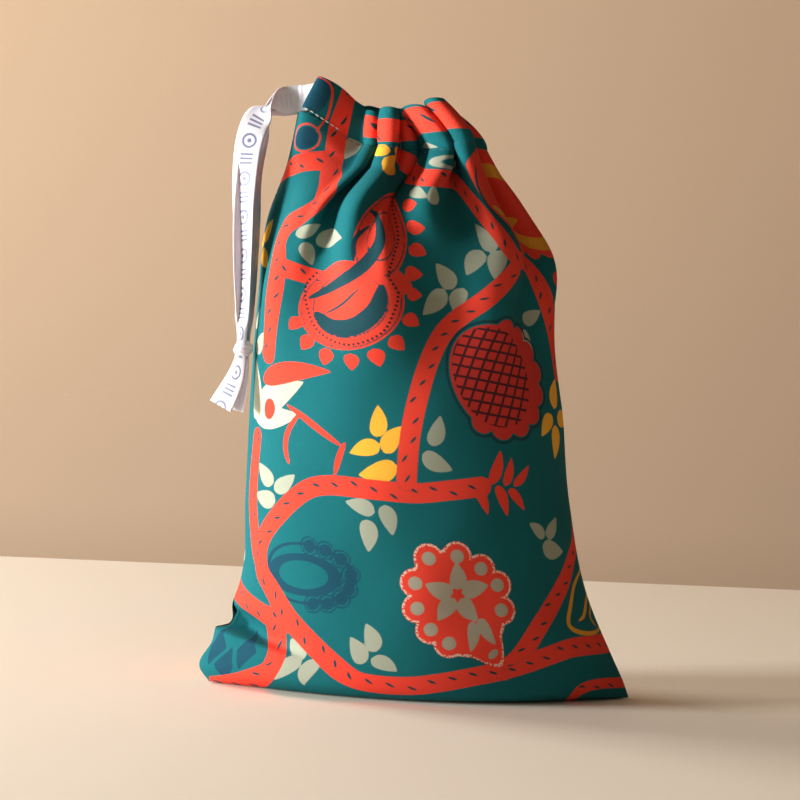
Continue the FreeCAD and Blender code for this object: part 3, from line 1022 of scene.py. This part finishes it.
@dataclass(frozen=True)
class PrintedCotton:
    """Plain-weave quilting cotton, reactive printed: matt, with a fine weave and a few pale worn flecks.

    Its yarns lie about 0.35 mm apart in the cloth and are drawn 0.6 mm apart, so that they show.
    """

    name: str
    ground: str = "#045D65"
    reverse: bool = False
    yarn: float = 0.6
    tick_pitch: float = 6.5
    lattice_pitch: float = 3.6
    bead_pitch: float = 1.7

    def build(self) -> bpy.types.Material:
        """Makes the material."""
        s = Shading(self.name)
        cut = s.cut_mm()
        fleck = s.node("ShaderNodeTexNoise", {"Vector": cut, "Scale": 2.6, "Detail": 3.0, "Roughness": 0.6})
        cloud = s.node("ShaderNodeTexNoise", {"Vector": cut, "Scale": 0.05, "Detail": 2.0})
        blot = s.node("ShaderNodeTexNoise", {"Vector": cut, "Scale": 0.9, "Detail": 2.0})
        rough = s.math("MULTIPLY_ADD", blot, 0.22, -0.11)
        dotted = s.math("GREATER_THAN", s.node("ShaderNodeTexNoise", {"Vector": cut, "Scale": 1.3}), 0.53)
        layers = {}
        for name in ("ink_a", "ink_b", "ink_c", "ink_d", "ink_e"):
            vector = s.node("ShaderNodeAttribute", out="Vector", attribute_name=name)
            layers[name] = s.split(vector)
        colour = s.over(s.times(cloud, 0.35), linear(self.ground), linear("#0A6E74"))
        for distance, ink in (
            (layers["ink_b"][0], Ink.NAVY),
            (layers["ink_a"][1], Ink.STONE),
            (layers["ink_a"][2], Ink.YELLOW),
            (layers["ink_b"][1], Ink.CREAM),
            (layers["ink_a"][0], Ink.CORAL),
            (layers["ink_c"][0], Ink.SHADOW),
            (layers["ink_e"][0], Ink.RED),
            (layers["ink_b"][2], Ink.MUSTARD),
            (layers["ink_e"][1], Ink.STONE_SPOT),
            (s.less(layers["ink_e"][2], s.times(dotted, 0.7)), Ink.PALE),
        ):
            colour = s.over(s.edge(s.plus(distance, rough)), colour, linear(ink.value))
        colour = s.over(self.ticks(s, layers), colour, linear(Ink.SHADOW.value))
        colour = s.over(self.lattice(s, cut, layers["ink_d"][2]), colour, linear("#4A1E26"))
        colour = s.over(self.beads(s, layers), colour, linear("#2A2A33"))
        worn = s.math("MULTIPLY_ADD", fleck, 0.34, -0.06)
        colour = s.over(s.times(worn, 0.16), colour, linear("#8FB0A8"))
        if self.reverse:
            colour = s.over(0.45, colour, linear("#8FAFA9"))
        s.link(colour, "Base Color")
        s.settings(Roughness=0.9, Specular_IOR_Level=0.12)
        self.weave(s, cut, fleck)
        return s.material

    def ticks(self, s: Shading, layers: dict[str, list]) -> bpy.types.NodeSocket:
        """The short dark slanting ticks along the branches, 6.5 mm apart."""
        along, across = layers["ink_c"][1], layers["ink_c"][2]
        cell = s.math("DIVIDE", along, self.tick_pitch)
        number = s.math("FLOOR", cell)
        local = s.times(s.less(s.less(cell, number), 0.5), self.tick_pitch)
        jitter = s.node("ShaderNodeTexWhiteNoise", {"W": number}, noise_dimensions="1D")
        shift = s.math("MULTIPLY_ADD", jitter, 3.0, -1.5)
        side = s.less(across, shift)
        slant = s.plus(s.times(local, 0.85), s.times(side, 0.52))
        thick = s.less(s.times(side, 0.85), s.times(local, 0.52))
        oval = s.length(s.math("DIVIDE", slant, 1.45), s.math("DIVIDE", thick, 0.42))
        shown = s.edge(s.less(1.0, oval), 0.3)
        inside = s.times(s.edge(s.less(layers["ink_a"][0], 0.4)),
                        s.math("LESS_THAN", s.math("ABSOLUTE", across), 3.2))
        return s.times(shown, inside)

    def lattice(
        self, s: Shading, cut: bpy.types.NodeSocket, region: bpy.types.NodeSocket
    ) -> bpy.types.NodeSocket:
        """Two sets of thin dark lines 3.6 mm apart, inside the cone."""
        lines = None
        for turn, offset in ((24, 0.2), (98, 1.4)):
            turned = s.node("ShaderNodeMapping", {"Vector": cut, "Rotation": (0, 0, math.radians(turn))})
            x = s.split(turned)[0]
            near = s.math("ABSOLUTE", s.math("PINGPONG", s.plus(x, offset), self.lattice_pitch / 2))
            thin = s.edge(s.less(0.42, near), 0.14)
            lines = thin if lines is None else s.math("MAXIMUM", lines, thin)
        return s.times(lines, s.edge(region))

    def beads(self, s: Shading, layers: dict[str, list]) -> bpy.types.NodeSocket:
        """Round beads 1.7 mm apart on the motifs' borders."""
        along, across = layers["ink_d"][0], layers["ink_d"][1]
        gap = s.length(s.repeat(along, self.bead_pitch), across)
        return s.edge(s.less(0.48, gap), 0.15)

    def weave(self, s: Shading, cut: bpy.types.NodeSocket, fleck: bpy.types.NodeSocket) -> None:
        """The over-and-under of the yarns, as a bump."""
        x, y = s.split(cut)[:2]
        turn = 2 * math.pi / self.yarn
        warp = s.math("SINE", s.times(x, turn))
        weft = s.math("SINE", s.times(y, turn))
        height = s.plus(s.times(warp, weft), s.times(fleck, 1.4))
        slub = s.node("ShaderNodeTexNoise", {"Vector": cut, "Scale": 0.22, "Detail": 4.0, "Roughness": 0.55})
        height = s.plus(height, s.times(slub, 1.6))
        s.bump(height, 0.35, 0.00012)


@dataclass(frozen=True)
class WovenRibbon:
    """White polyester satin ribbon, woven with fine ribs across and printed with small blue-grey marks."""

    name: str
    printed: bool
    mark_pitch: float = 13.0

    def build(self) -> bpy.types.Material:
        """Makes the material."""
        s = Shading(self.name)
        cut = s.cut_mm()
        x, y = s.split(cut)[:2]
        soft = s.node("ShaderNodeTexNoise", {"Vector": cut, "Scale": 0.35, "Detail": 3.0})
        colour = s.over(s.times(soft, 0.5), linear("#DCDDE5"), linear("#C6C8D8"))
        strength = 0.9 if self.printed else 0.14
        colour = s.over(s.times(self.marks(s, x, y), strength), colour, linear("#59648C"))
        s.link(colour, "Base Color")
        s.settings(Roughness=0.46, Sheen_Weight=0.12, Specular_IOR_Level=0.45, Subsurface_Weight=0.12,
                   Subsurface_Scale=0.0008)
        ribs = s.math("SINE", s.times(y, 2 * math.pi / 0.55))
        edge = s.edge(s.less(s.math("ABSOLUTE", x), 4.1), 0.25)
        height = s.plus(s.times(ribs, 0.5), s.times(edge, 2.0))
        s.bump(height, 0.4, 0.0001)
        return s.material

    def marks(self, s: Shading, x: bpy.types.NodeSocket, y: bpy.types.NodeSocket) -> bpy.types.NodeSocket:
        """A ring with a dot, then three short bars, repeated every 13 mm."""
        local = s.repeat(y, self.mark_pitch)
        radius = s.length(x, s.plus(local, 3.2))
        ring = s.edge(s.less(0.38, s.math("ABSOLUTE", s.less(radius, 2.2))), 0.14)
        dot = s.edge(s.less(0.75, radius), 0.14)
        bar_y = s.less(local, 3.0)
        step = s.math("ABSOLUTE", s.less(s.math("ABSOLUTE", bar_y), 1.5))
        bars = s.math("MINIMUM", s.math("ABSOLUTE", bar_y), step)
        long = s.less(2.3, s.math("ABSOLUTE", x))
        bars = s.edge(s.math("MINIMUM", s.less(0.34, bars), long), 0.14)
        return s.math("MAXIMUM", s.math("MAXIMUM", ring, dot), bars)


@dataclass(frozen=True)
class SewingThread:
    """Spun polyester thread: two plies twisted together, a little fuzzy and matt."""

    name: str
    tint: str
    shade: str

    def build(self) -> bpy.types.Material:
        """Makes the material. The plies' turns are drawn 0.5 mm apart."""
        s = Shading(self.name)
        place = s.node("ShaderNodeTexCoord", out="Object")
        mm = s.node("ShaderNodeVectorMath", {0: place, 3: 1000.0}, operation="SCALE")
        wave = {"Vector": mm, "Scale": 0.6, "Distortion": 1.5}
        ply = s.node("ShaderNodeTexWave", wave, out="Fac", bands_direction="DIAGONAL")
        fuzz = s.node("ShaderNodeTexNoise", {"Vector": mm, "Scale": 4.0})
        s.link(s.over(s.times(ply, 0.4), linear(self.tint), linear(self.shade)), "Base Color")
        s.settings(Roughness=0.8, Sheen_Weight=0.3)
        height = s.plus(ply, s.times(fuzz, 0.4))
        s.bump(height, 0.5, 0.0001)
        return s.material


class Finish:
    """The finished materials, each made once."""

    def __init__(self) -> None:
        """Makes every material."""
        self.cotton = PrintedCotton("printed_cotton").build()
        self.reverse = PrintedCotton("cotton_reverse", reverse=True).build()
        self.ribbon = WovenRibbon("printed_satin_ribbon", True).build()
        self.plain_ribbon = WovenRibbon("plain_satin_ribbon", False).build()
        self.thread = SewingThread("teal_thread", "#1D5A62", "#123F47").build()
        self.pale_thread = SewingThread("pale_thread", "#C6CCC6", "#8E9A98").build()


def thicken(
    piece: bpy.types.Object,
    thick: float,
    outer: bpy.types.Material,
    inner: bpy.types.Material,
    offset: float = -1.0,
) -> None:
    """Gives a sheet its thickness, with one material outside and one inside.

    Args:
        piece: The sheet.
        thick: Its thickness, in millimetres.
        outer: The material of the side that its faces point to.
        inner: The material of the other side.
        offset: -1 to grow inwards from the sheet, and 0 to grow both ways.
    """
    piece.data.materials.append(outer)
    piece.data.materials.append(inner)
    solid = piece.modifiers.new("thickness", "SOLIDIFY")
    solid.thickness, solid.offset = thick * MM, offset
    solid.material_offset, solid.material_offset_rim = 1, 0


def cloth_grid(
    name: str, form: PouchForm, rows: list[np.ndarray], vs: np.ndarray, columns: np.ndarray, flip: bool
) -> bpy.types.Object:
    """A sheet of cloth from its rows.

    Args:
        name: The piece's name.
        form: The cloth's shape, for its columns.
        rows: Points of each row, in millimetres.
        vs: How far up the cloth each row is.
        columns: Where the mesh's columns are, across the cloth.
        flip: Whether to turn the faces round, so that they point outwards.

    Returns:
        The new object.
    """
    points = np.stack(
        [np.stack([np.interp(columns, form.u, r[:, k]) for k in range(3)], axis=1) for r in rows]
    )
    return cut_sheet(name, points, np.stack(np.meshgrid(columns, vs), axis=2), flip)


@dataclass
class ClothPanels:
    """The two printed panels, each one sheet from the bottom seam to the stitch line."""

    form: PouchForm
    across: int = 244
    floor_rows: int = 12
    wall_rows: int = 318

    def build(self, finish: Finish) -> dict[Side, bpy.types.Object]:
        """Makes both panels.

        Args:
            finish: The materials.

        Returns:
            Each side's panel.
        """
        made = {}
        columns = np.linspace(0, self.form.width, self.across + 1)
        span = self.form.base_v
        vs = np.concatenate([
            np.linspace(0, span, self.floor_rows, endpoint=False),
            span + np.linspace(0, self.form.wall_length(), self.wall_rows),
        ])
        for side in Side:
            rows = [self.form.wall(side, v) for v in vs]
            name = "cloth_%s_panel" % side.name.lower()
            made[side] = cloth_grid(name, self.form, rows, vs, columns, side is Side.BACK)
            print_cloth(made[side], side, self.form)
            made[side].data.materials.append(finish.cotton)
            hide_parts("%s_panel" % side.name.lower())
            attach(made[side], "bag")
            flat = (self.form.width * MM, (span + self.form.wall_length()) * MM)
        return made


@dataclass
class ClothCasing:
    """The casing on each panel: the cloth turned over the top and stitched down inside."""

    form: PouchForm
    across: int = 300
    around: int = 56
    thick: float = 0.4

    def build(self, finish: Finish) -> dict[Side, bpy.types.Object]:
        """Makes both halves of the casing.

        Args:
            finish: The materials.

        Returns:
            Each side's casing.
        """
        made = {}
        start = self.form.casing_start
        columns = np.linspace(start, self.form.width, self.across + 1)
        turns = np.linspace(0, 1, self.around + 1)
        bottom = self.form.base_v + self.form.wall_length()
        for side in Side:
            rows = [self.form.casing_row(side, t) for t in turns]
            name = "cloth_%s_casing" % side.name.lower()
            vs = bottom + turns * 2 * self.form.casing
            made[side] = cloth_grid(name, self.form, rows, vs, columns, side is Side.BACK)
            print_cloth(made[side], side, self.form)
            thicken(made[side], self.thick, finish.cotton, finish.reverse)
            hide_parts("%s_casing_hem" % side.name.lower())
            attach(made[side], "bag")
        return made


# ---- the ribbon ---------------------------------------------------------------------------------
Place = tuple[float, float, float]


def nurbs_line(points: list[Place]) -> np.ndarray:
    """The smooth line that a NURBS curve makes through a route.

    Args:
        points: The route's points, in millimetres.

    Returns:
        Close points along it, in millimetres.
    """
    curve = bpy.data.curves.new("route", "CURVE")
    curve.dimensions, curve.resolution_u = "3D", 32
    spline = curve.splines.new("NURBS")
    spline.points.add(len(points) - 1)
    for point, place in zip(spline.points, points):
        point.co = (place[0] * MM, place[1] * MM, place[2] * MM, 1.0)
    spline.order_u = 3
    spline.use_endpoint_u = True
    guide = bpy.data.objects.new("route", curve)
    bpy.context.scene.collection.objects.link(guide)
    mesh = bpy.data.meshes.new_from_object(guide)
    line = np.array([tuple(v.co) for v in mesh.vertices]) / MM
    bpy.data.objects.remove(guide)
    bpy.data.meshes.remove(mesh)
    bpy.data.curves.remove(curve)
    return line


@dataclass
class Strip:
    """A flat strip of ribbon along a line, turned and narrowed on its way.

    Attributes:
        turn: Places along the line, each with how far the strip is turned about it, in degrees.
        wide: Places along the line, each with the strip's width.
        start: How far along the whole ribbon the strip begins, for its print.
        upright: Whether its width stands straight up, as it does inside the casing.
        cup_depth: How far its middle bows out where it is pulled narrow.
    """

    name: str
    line: np.ndarray
    turn: list[Point]
    wide: list[Point]
    start: float = 0.0
    upright: bool = False
    across: int = 8
    thick: float = 0.28
    cup_depth: float = 1.6

    def build(self, face: bpy.types.Material, reverse: bpy.types.Material) -> bpy.types.Object:
        """Makes the strip, with its flat cut as a UV map in metres.

        Args:
            face: The material of the side that faces forwards when the turn is 0.
            reverse: The material of the other side.

        Returns:
            The new object.
        """
        along = distances(self.line)
        count = max(8, int(along[-1] / 0.8))
        centre = resample(self.line, count + 1)
        s = np.linspace(0, along[-1], count + 1)
        tangent = np.gradient(centre, s, axis=0)
        tangent /= np.linalg.norm(tangent, axis=1, keepdims=True)
        level = np.array([0.0, -1.0, 0.0])
        ahead = np.tile([0.0, 0.0, -1.0], (count + 1, 1)) if self.upright else np.cross(tangent, level)
        ahead /= np.linalg.norm(ahead, axis=1, keepdims=True)
        outward = np.cross(ahead, tangent)
        turn = np.radians(np.array([hermite(*self.table(self.turn), at) for at in s]))[:, None]
        wide = np.array([hermite(*self.table(self.wide), at) for at in s])
        side = ahead * np.cos(turn) + outward * np.sin(turn)
        lift = -ahead * np.sin(turn) + outward * np.cos(turn)
        t = np.linspace(-1.0, 1.0, self.across + 1)
        full = max(w for _, w in self.wide)
        cup = (1 - wide / full)[:, None] * self.cup_depth * (1 - t * t)
        reach = side[:, None] * t[None, :, None] * wide[:, None, None] / 2
        points = centre[:, None] + reach + lift[:, None] * cup[:, :, None]
        flat = np.stack(np.meshgrid(t * full / 2, self.start + s), axis=2)
        made = cut_sheet(self.name, points, flat)
        thicken(made, self.thick, face, reverse, offset=0.0)
        return made

    def table(self, pairs: list[Point]) -> tuple[np.ndarray, np.ndarray]:
        """Splits pairs into places and values."""
        return np.array([p[0] for p in pairs], float), np.array([p[1] for p in pairs], float)


@dataclass
class Drawstring:
    """The ribbon: round inside the casing, out at the left as two strands, knotted, with two cut tails."""

    form: PouchForm
    pivot: tuple[float, float] = (-48.05, 197.75)
    wide: float = 9.5
    fall: float = 80.25
    knot_top: float = 117.5
    knot_foot: float = 109.5

    def strand_route(self, side: Side) -> list[Place]:
        """The route of one strand, from the casing through the knot to its cut end.

        Args:
            side: Which strand.

        Returns:
            The route's points, in millimetres.
        """
        front = side is Side.FRONT
        out, forward = (-2.25, 10.1) if front else (2.25, 13.9)
        tip = math.atan2(forward, self.fall)
        plane = (
            [self.pivot, (-57.2, 197.2), (-64.6, 188.5), (-66.6, 170.0), (-65.4, 144.0)]
            if front
            else [self.pivot, (-56.6, 196.9), (-63.2, 188.8), (-64.9, 170.5), (-64.6, 144.5)]
        )
        route = [
            (
                x, out - (self.pivot[1] - z) * math.sin(tip),
                self.pivot[1] - (self.pivot[1] - z) * math.cos(tip)
            )
            for x, z in plane
        ]
        last = out - self.fall * math.sin(tip)
        tail = (
            [(-64.4, self.knot_top), (-64.4, self.knot_foot), (-66.6, 101.5), (-70.4, 94.0)]
            if front
            else [(-63.6, self.knot_top), (-63.6, self.knot_foot), (-64.4, 101.5), (-66.4, 93.2)]
        )
        return route + [(x, last, z) for x, z in tail]

    def channel(self, side: Side) -> np.ndarray:
        """The line along the middle of the casing's channel, at each column of the cloth."""
        outside, inside = self.form.casing_row(side, 0.27), self.form.casing_row(side, 0.73)
        return (outside + inside) / 2

    def strands(self, finish: Finish, knot: bpy.types.Object) -> None:
        """The two strands with their tails, each one strip.

        Args:
            finish: The materials.
            knot: The knot, which hangs on the front strand. It is not used.
        """
        for side in Side:
            name = side.name.lower()
            line = nurbs_line(self.strand_route(side))
            steps = distances(line)
            long = float(steps[-1])
            front = side is Side.FRONT
            turn = (
                [
                    (0, -180), (6, -172), (11, -96), (15, -30), (24, -20), (38, -38), (46, -48),
                    (59, -55), (72, -56), (82, -50), (90, -34), (100, -28), (long, -30),
                ]
                if front
                else [
                    (0, 0), (6, 10), (12, 62), (20, 150), (30, 198), (50, 208), (70, 214), (84, 206),
                    (96, 150), (long, 146),
                ]
            )
            wide = [
                (0, 9.2), (8, 8.6), (11, 7.4), (15, 8.8), (30, self.wide), (70, 9.3), (84, 6.4),
                (90, 3.8), (97, 4.0), (104, 6.2), (112, 8.4), (long, 9.0),
            ]
            strip = Strip("ribbon_%s_length" % name, line, turn, wide, 30.0 if front else 34.0)
            piece = strip.build(finish.ribbon, finish.plain_ribbon)
            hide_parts("ribbon_%s_strand" % name, "ribbon_%s_tail" % name)
            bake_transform(piece)
            LOG.info("%s: %.1f mm long", piece.name, long)

    def leads(self, finish: Finish) -> None:
        """The two runs inside the flap that slide out when the ribbon is pulled."""
        for side in Side:
            name = side.name.lower()
            inner = self.channel(side)
            keep = inner[(self.form.u > 10.0) & (self.form.u < 26.0)]
            start = np.array([[self.pivot[0] - 1.4, side.value * 2.5, self.pivot[1]]])
            line = soften(resample(np.concatenate([start, start + [[1.5, 0.0, 0.1]], keep[::6]]), 40), 6)
            strip = Strip(
                "ribbon_%s_run" % name, line, [(0, 0), (50, 0)], [(0, 9.2), (5, 8.4), (10, 7.2), (50, 6.8)],
                upright=True
            )
            piece = strip.build(finish.plain_ribbon, finish.ribbon)
            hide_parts("ribbon_%s_lead" % name)
            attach(piece, "drawstring_lead")

    def hidden_run(self, finish: Finish) -> None:
        """The run round inside the gathered casing, from one side of the flap to the other."""
        half = self.form.u > 26.5
        front, back = (self.channel(side)[half] for side in (Side.FRONT, Side.BACK))
        line = np.concatenate([front[::4], back[::-1][::4]])
        strip = Strip("ribbon_in_channel", line, [(0, 0), (400, 0)], [(0, 2.4), (400, 2.4)], upright=True)
        piece = strip.build(finish.plain_ribbon, finish.ribbon)
        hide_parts("ribbon_in_casing")
        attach(piece, "bag")

    def knot(self, finish: Finish) -> bpy.types.Object:
        """The overhand knot: two flattened turns of ribbon that cross over each other."""
        bm = bmesh.new()
        centre = Vector((-64.0, -12.0, 113.6))
        for ring, (radius, tall, flat, lean, yaw) in enumerate(
            ((1.7, 2.5, 1.25, 24, 8), (1.9, 1.8, 1.2, -44, -20))
        ):
            turned = Matrix.Rotation(math.radians(yaw), 3, "Z") @ Matrix.Rotation(math.radians(lean), 3, "Y")
            around, section = 44, 20
            bmesh.ops.create_grid(bm, x_segments=around, y_segments=section, size=0.5)
            fresh = bm.verts[-(around + 1) * (section + 1):]
            for vert in fresh:
                a, b = (vert.co.x + 0.5) * 2 * math.pi, (vert.co.y + 0.5) * 2 * math.pi
                crease = 0.16 * math.sin(3 * a + 2 * b + ring) * math.cos(b) + 0.1 * math.sin(7 * b + 2 * a)
                out = radius + (flat + crease) * math.cos(b)
                swell = 1 + 0.14 * math.cos(a - 0.6 + ring * 2.4)
                place = Vector((out * math.cos(a) * swell, out * math.sin(a), (tall + crease) * math.sin(b)))
                vert.co = (centre + turned @ place) * MM
        bmesh.ops.remove_doubles(bm, verts=bm.verts, dist=0.00001)
        bmesh.ops.recalc_face_normals(bm, faces=bm.faces)
        uv_layer = bm.loops.layers.uv.new("cut")
        for item in bm.faces:
            for loop in item.loops:
                loop[uv_layer].uv = ((loop.vert.co.x + 0.064) * 0.9, loop.vert.co.z)
        piece = add_piece("ribbon_overhand_knot", bm)
        piece.data.materials.append(finish.plain_ribbon)
        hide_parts("ribbon_knot")
        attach(piece, "ribbon_loop")
        return piece

    def build(self, finish: Finish) -> None:
        """Makes the whole ribbon."""
        self.strands(finish, self.knot(finish))
        self.leads(finish)
        self.hidden_run(finish)


# ---- the sewing ---------------------------------------------------------------------------------
@dataclass
class Sewing:
    """The seams: allowances turned inside, stitches along them, and the stitches that show at the slit."""

    form: PouchForm
    allowance: float = 7.0
    seam_gap: float = 0.6
    gauge: float = 0.17
    overlong: float = 1.45

    def stitch(self, bm: bmesh.types.BMesh, a: np.ndarray, b: np.ndarray, gauge: float) -> None:
        """Adds one stitch, a short thread that is thinner at both ends.

        Args:
            bm: The mesh that it is added to.
            a: Where it comes out of the cloth, in millimetres.
            b: Where it goes back in.
            gauge: The thread's radius.
        """
        mid, run = Vector((a + b) / 2), Vector(b - a)
        turned = run.to_track_quat("Z", "Y").to_matrix().to_4x4()
        made = bmesh.ops.create_uvsphere(bm, u_segments=8, v_segments=7, radius=1.0)["verts"]
        shape = Matrix.Diagonal((gauge, gauge, run.length / 2, 1.0))
        metres = Matrix.Diagonal((MM, MM, MM, 1.0))
        bmesh.ops.transform(bm, matrix=Matrix.Translation(mid * MM) @ turned @ metres @ shape, verts=made)

    def row(
        self, name: str, line: np.ndarray, pitch: float, gauge: float, thread: bpy.types.Material, *nodes: str
    ) -> None:
        """A row of stitches along a line.

        Args:
            name: The piece's name.
            line: Points along the row, in millimetres.
            pitch: How far apart the stitches are.
            gauge: The thread's radius.
            thread: The thread's material.
            *nodes: The CAD nodes that it stands for.
        """
        count = max(2, int(distances(line)[-1] / pitch))
        ends = resample(line, 2 * count + 1)
        bm = bmesh.new()
        for i in range(count):
            self.stitch(bm, ends[2 * i], ends[2 * i] + (ends[2 * i + 1] - ends[2 * i]) * self.overlong, gauge)
        piece = add_piece(name, bm)
        piece.data.materials.append(thread)
        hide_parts(*nodes)
        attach(piece, "bag")

    def allowance_strip(self, name: str, seam: np.ndarray, inward: float, finish: Finish, node: str) -> None:
        """The two seam allowances of one side, pressed together inside the bag.

        Args:
            name: The piece's name.
            seam: Points up the seam, in millimetres.
            inward: The sign of X towards the middle of the bag.
            finish: The materials.
            node: The CAD node that it stands for.
        """
        reach = self.seam_gap + np.arange(7) / 6 * (self.allowance - self.seam_gap)
        points = np.stack(np.broadcast_arrays(seam[:, :1] + inward * reach, 0.0, seam[:, 2:]), axis=2)
        flat = np.stack(np.meshgrid(reach, np.arange(len(seam)) * 1.0), axis=2)
        piece = cut_sheet(name, points, flat, smooth=False)
        thicken(piece, 0.16, finish.reverse, finish.reverse, offset=0.0)
        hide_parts(node)
        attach(piece, "bag")

    def build(self, finish: Finish) -> None:
        """Makes the allowances and every row of stitches."""
        base, top = self.form.base_v, self.form.base_v + self.form.wall_length()
        levels = np.linspace(base + 3.0, top - 1.0, 90)
        for name, column, inward in (("left", 0, 1.0), ("right", -1, -1.0)):
            seam = np.array([self.form.wall(Side.FRONT, v)[column] for v in levels])
            self.allowance_strip(
                "%s_allowance_strip" % name, seam, inward, finish, "%s_seam_allowance" % name
            )
            line = seam + np.array([inward * 1.6, 0.0, 0.0])
            self.row("%s_seam_thread" % name, line, 1.9, self.gauge, finish.thread, "%s_seam_stitches" % name)
        for side in Side:
            line = self.form.wall(side, top - 0.7)[(self.form.u > 18) & (self.form.u < 148)][::4]
            line[:, 1] += side.value * 0.03
            name = side.name.lower()
            self.row("%s_casing_thread" % name, line, 3.0, 0.13, finish.thread, "%s_casing_stitches" % name)
        slit = self.form.casing_row(Side.FRONT, 0.045)[(self.form.u > 7.4) & (self.form.u < 21)][::4]
        slit[:, 1] -= 0.18
        self.row("slit_edge_thread", slit, 2.0, 0.2, finish.pale_thread, "slit_bartack")


# ---- the studio ---------------------------------------------------------------------------------
@dataclass
class Studio:
    """The floor, the backdrop, the lights and the camera."""

    aim: tuple[float, float, float] = (-9.9, 0.0, 98.6)
    distance: float = 753.0
    azimuth: float = -5.0
    height: float = 125.0
    roll: float = 3.0
    lens: float = 100.0
    floor_end: float = 350.0
    wall_y: float = 1050.0

    def camera(self) -> None:
        """Sets up the camera."""
        data = bpy.data.cameras.new("camera")
        data.lens, data.sensor_width = self.lens, 36.0
        data.clip_start, data.clip_end = 0.01, 20.0
        cam = bpy.data.objects.new("camera", data)
        bpy.context.scene.collection.objects.link(cam)
        aim = Vector(self.aim) * MM
        turn, climb = math.radians(self.azimuth), math.asin((self.height - self.aim[2]) / self.distance)
        back = Vector((math.sin(turn) * math.cos(climb), -math.cos(turn) * math.cos(climb), math.sin(climb)))
        cam.location = aim + back * self.distance * MM
        look = (-back).to_track_quat("-Z", "Y").to_matrix() @ Matrix.Rotation(math.radians(self.roll), 3, "Z")
        cam.rotation_euler = look.to_euler()
        bpy.context.scene.camera = cam

    def light(
        self, name: str, at: tuple[float, float, float], size: float, power: float,
        colour: tuple[float, float, float]
    ) -> None:
        """Adds one soft square light that points at the bag.

        Args:
            name: The light's name.
            at: Where it is, in metres.
            size: Its side, in metres.
            power: Its power, in watts.
            colour: Its linear colour.
        """
        data = bpy.data.lights.new(name, "AREA")
        data.size, data.energy, data.color = size, power, colour
        lamp = bpy.data.objects.new(name, data)
        bpy.context.scene.collection.objects.link(lamp)
        lamp.location = at
        lamp.rotation_euler = (Vector((0, 0, 0.09)) - Vector(at)).to_track_quat("-Z", "Y").to_euler()

    def build(self) -> None:
        """Makes the whole studio."""
        self.camera()
        self.light("key", (-1.26, -0.30, 0.19), 0.32, 35.0, (1.0, 0.98, 0.95))
        self.light("window", (-1.00, 0.45, 0.75), 0.5, 8.5, (1.0, 0.93, 0.84))
        self.light("fill", (-0.9, -1.4, 0.10), 1.0, 2.2, (1.0, 0.96, 0.92))
        world = bpy.data.worlds.new("studio")
        world.use_nodes = True
        world.node_tree.nodes["Background"].inputs["Color"].default_value = (0.90, 0.64, 0.43, 1)
        world.node_tree.nodes["Background"].inputs["Strength"].default_value = 0.16
        bpy.context.scene.world = world
        self.surface("floor", (6.0, 3.0), (0, self.floor_end * MM - 1.5, 0), 0, "#FDF3E4")
        self.surface("backdrop", (6.0, 4.0), (0, self.wall_y * MM, 0), 90, "#CDB297")

    def surface(
        self, name: str, size: tuple[float, float], centre: tuple[float, float, float], turn: float, tint: str
    ) -> None:
        """Adds a plain rectangle of studio floor or wall.

        Args:
            name: Its name.
            size: Its two sides, in metres.
            centre: Its centre, in metres.
            turn: How far it is turned up about X, in degrees.
            tint: Its colour, as sRGB hex.
        """
        bm = bmesh.new()
        bmesh.ops.create_grid(bm, x_segments=1, y_segments=1, size=0.5)
        bmesh.ops.scale(bm, verts=bm.verts, vec=(size[0], size[1], 1))
        bmesh.ops.rotate(
            bm, verts=bm.verts, cent=(0, 0, 0), matrix=Matrix.Rotation(math.radians(turn), 3, "X")
        )
        bmesh.ops.translate(bm, verts=bm.verts, vec=centre)
        plane = add_piece(name, bm, smooth=False)
        material = bpy.data.materials.new(name)
        material.use_nodes = True
        shader = material.node_tree.nodes["Principled BSDF"]
        shader.inputs["Base Color"].default_value = linear(tint)
        shader.inputs["Roughness"].default_value = 0.8
        plane.data.materials.append(material)


def main() -> None:
    """Builds the bag, piece by piece."""
    logging.basicConfig(level=logging.INFO, format="%(message)s")
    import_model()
    bpy.context.scene.view_settings.view_transform = "Standard"
    form = PouchForm()
    finish = Finish()
    Drawstring(form).build(finish)
    Sewing(form).build(finish)
    panels = ClothPanels(form).build(finish)
    casings = ClothCasing(form).build(finish)
    for piece in list(panels.values()) + list(casings.values()):
        LOG.info("%s: %d faces", piece.name, len(piece.data.polygons))
    Studio().build()


if __name__ == "__main__":
    main()
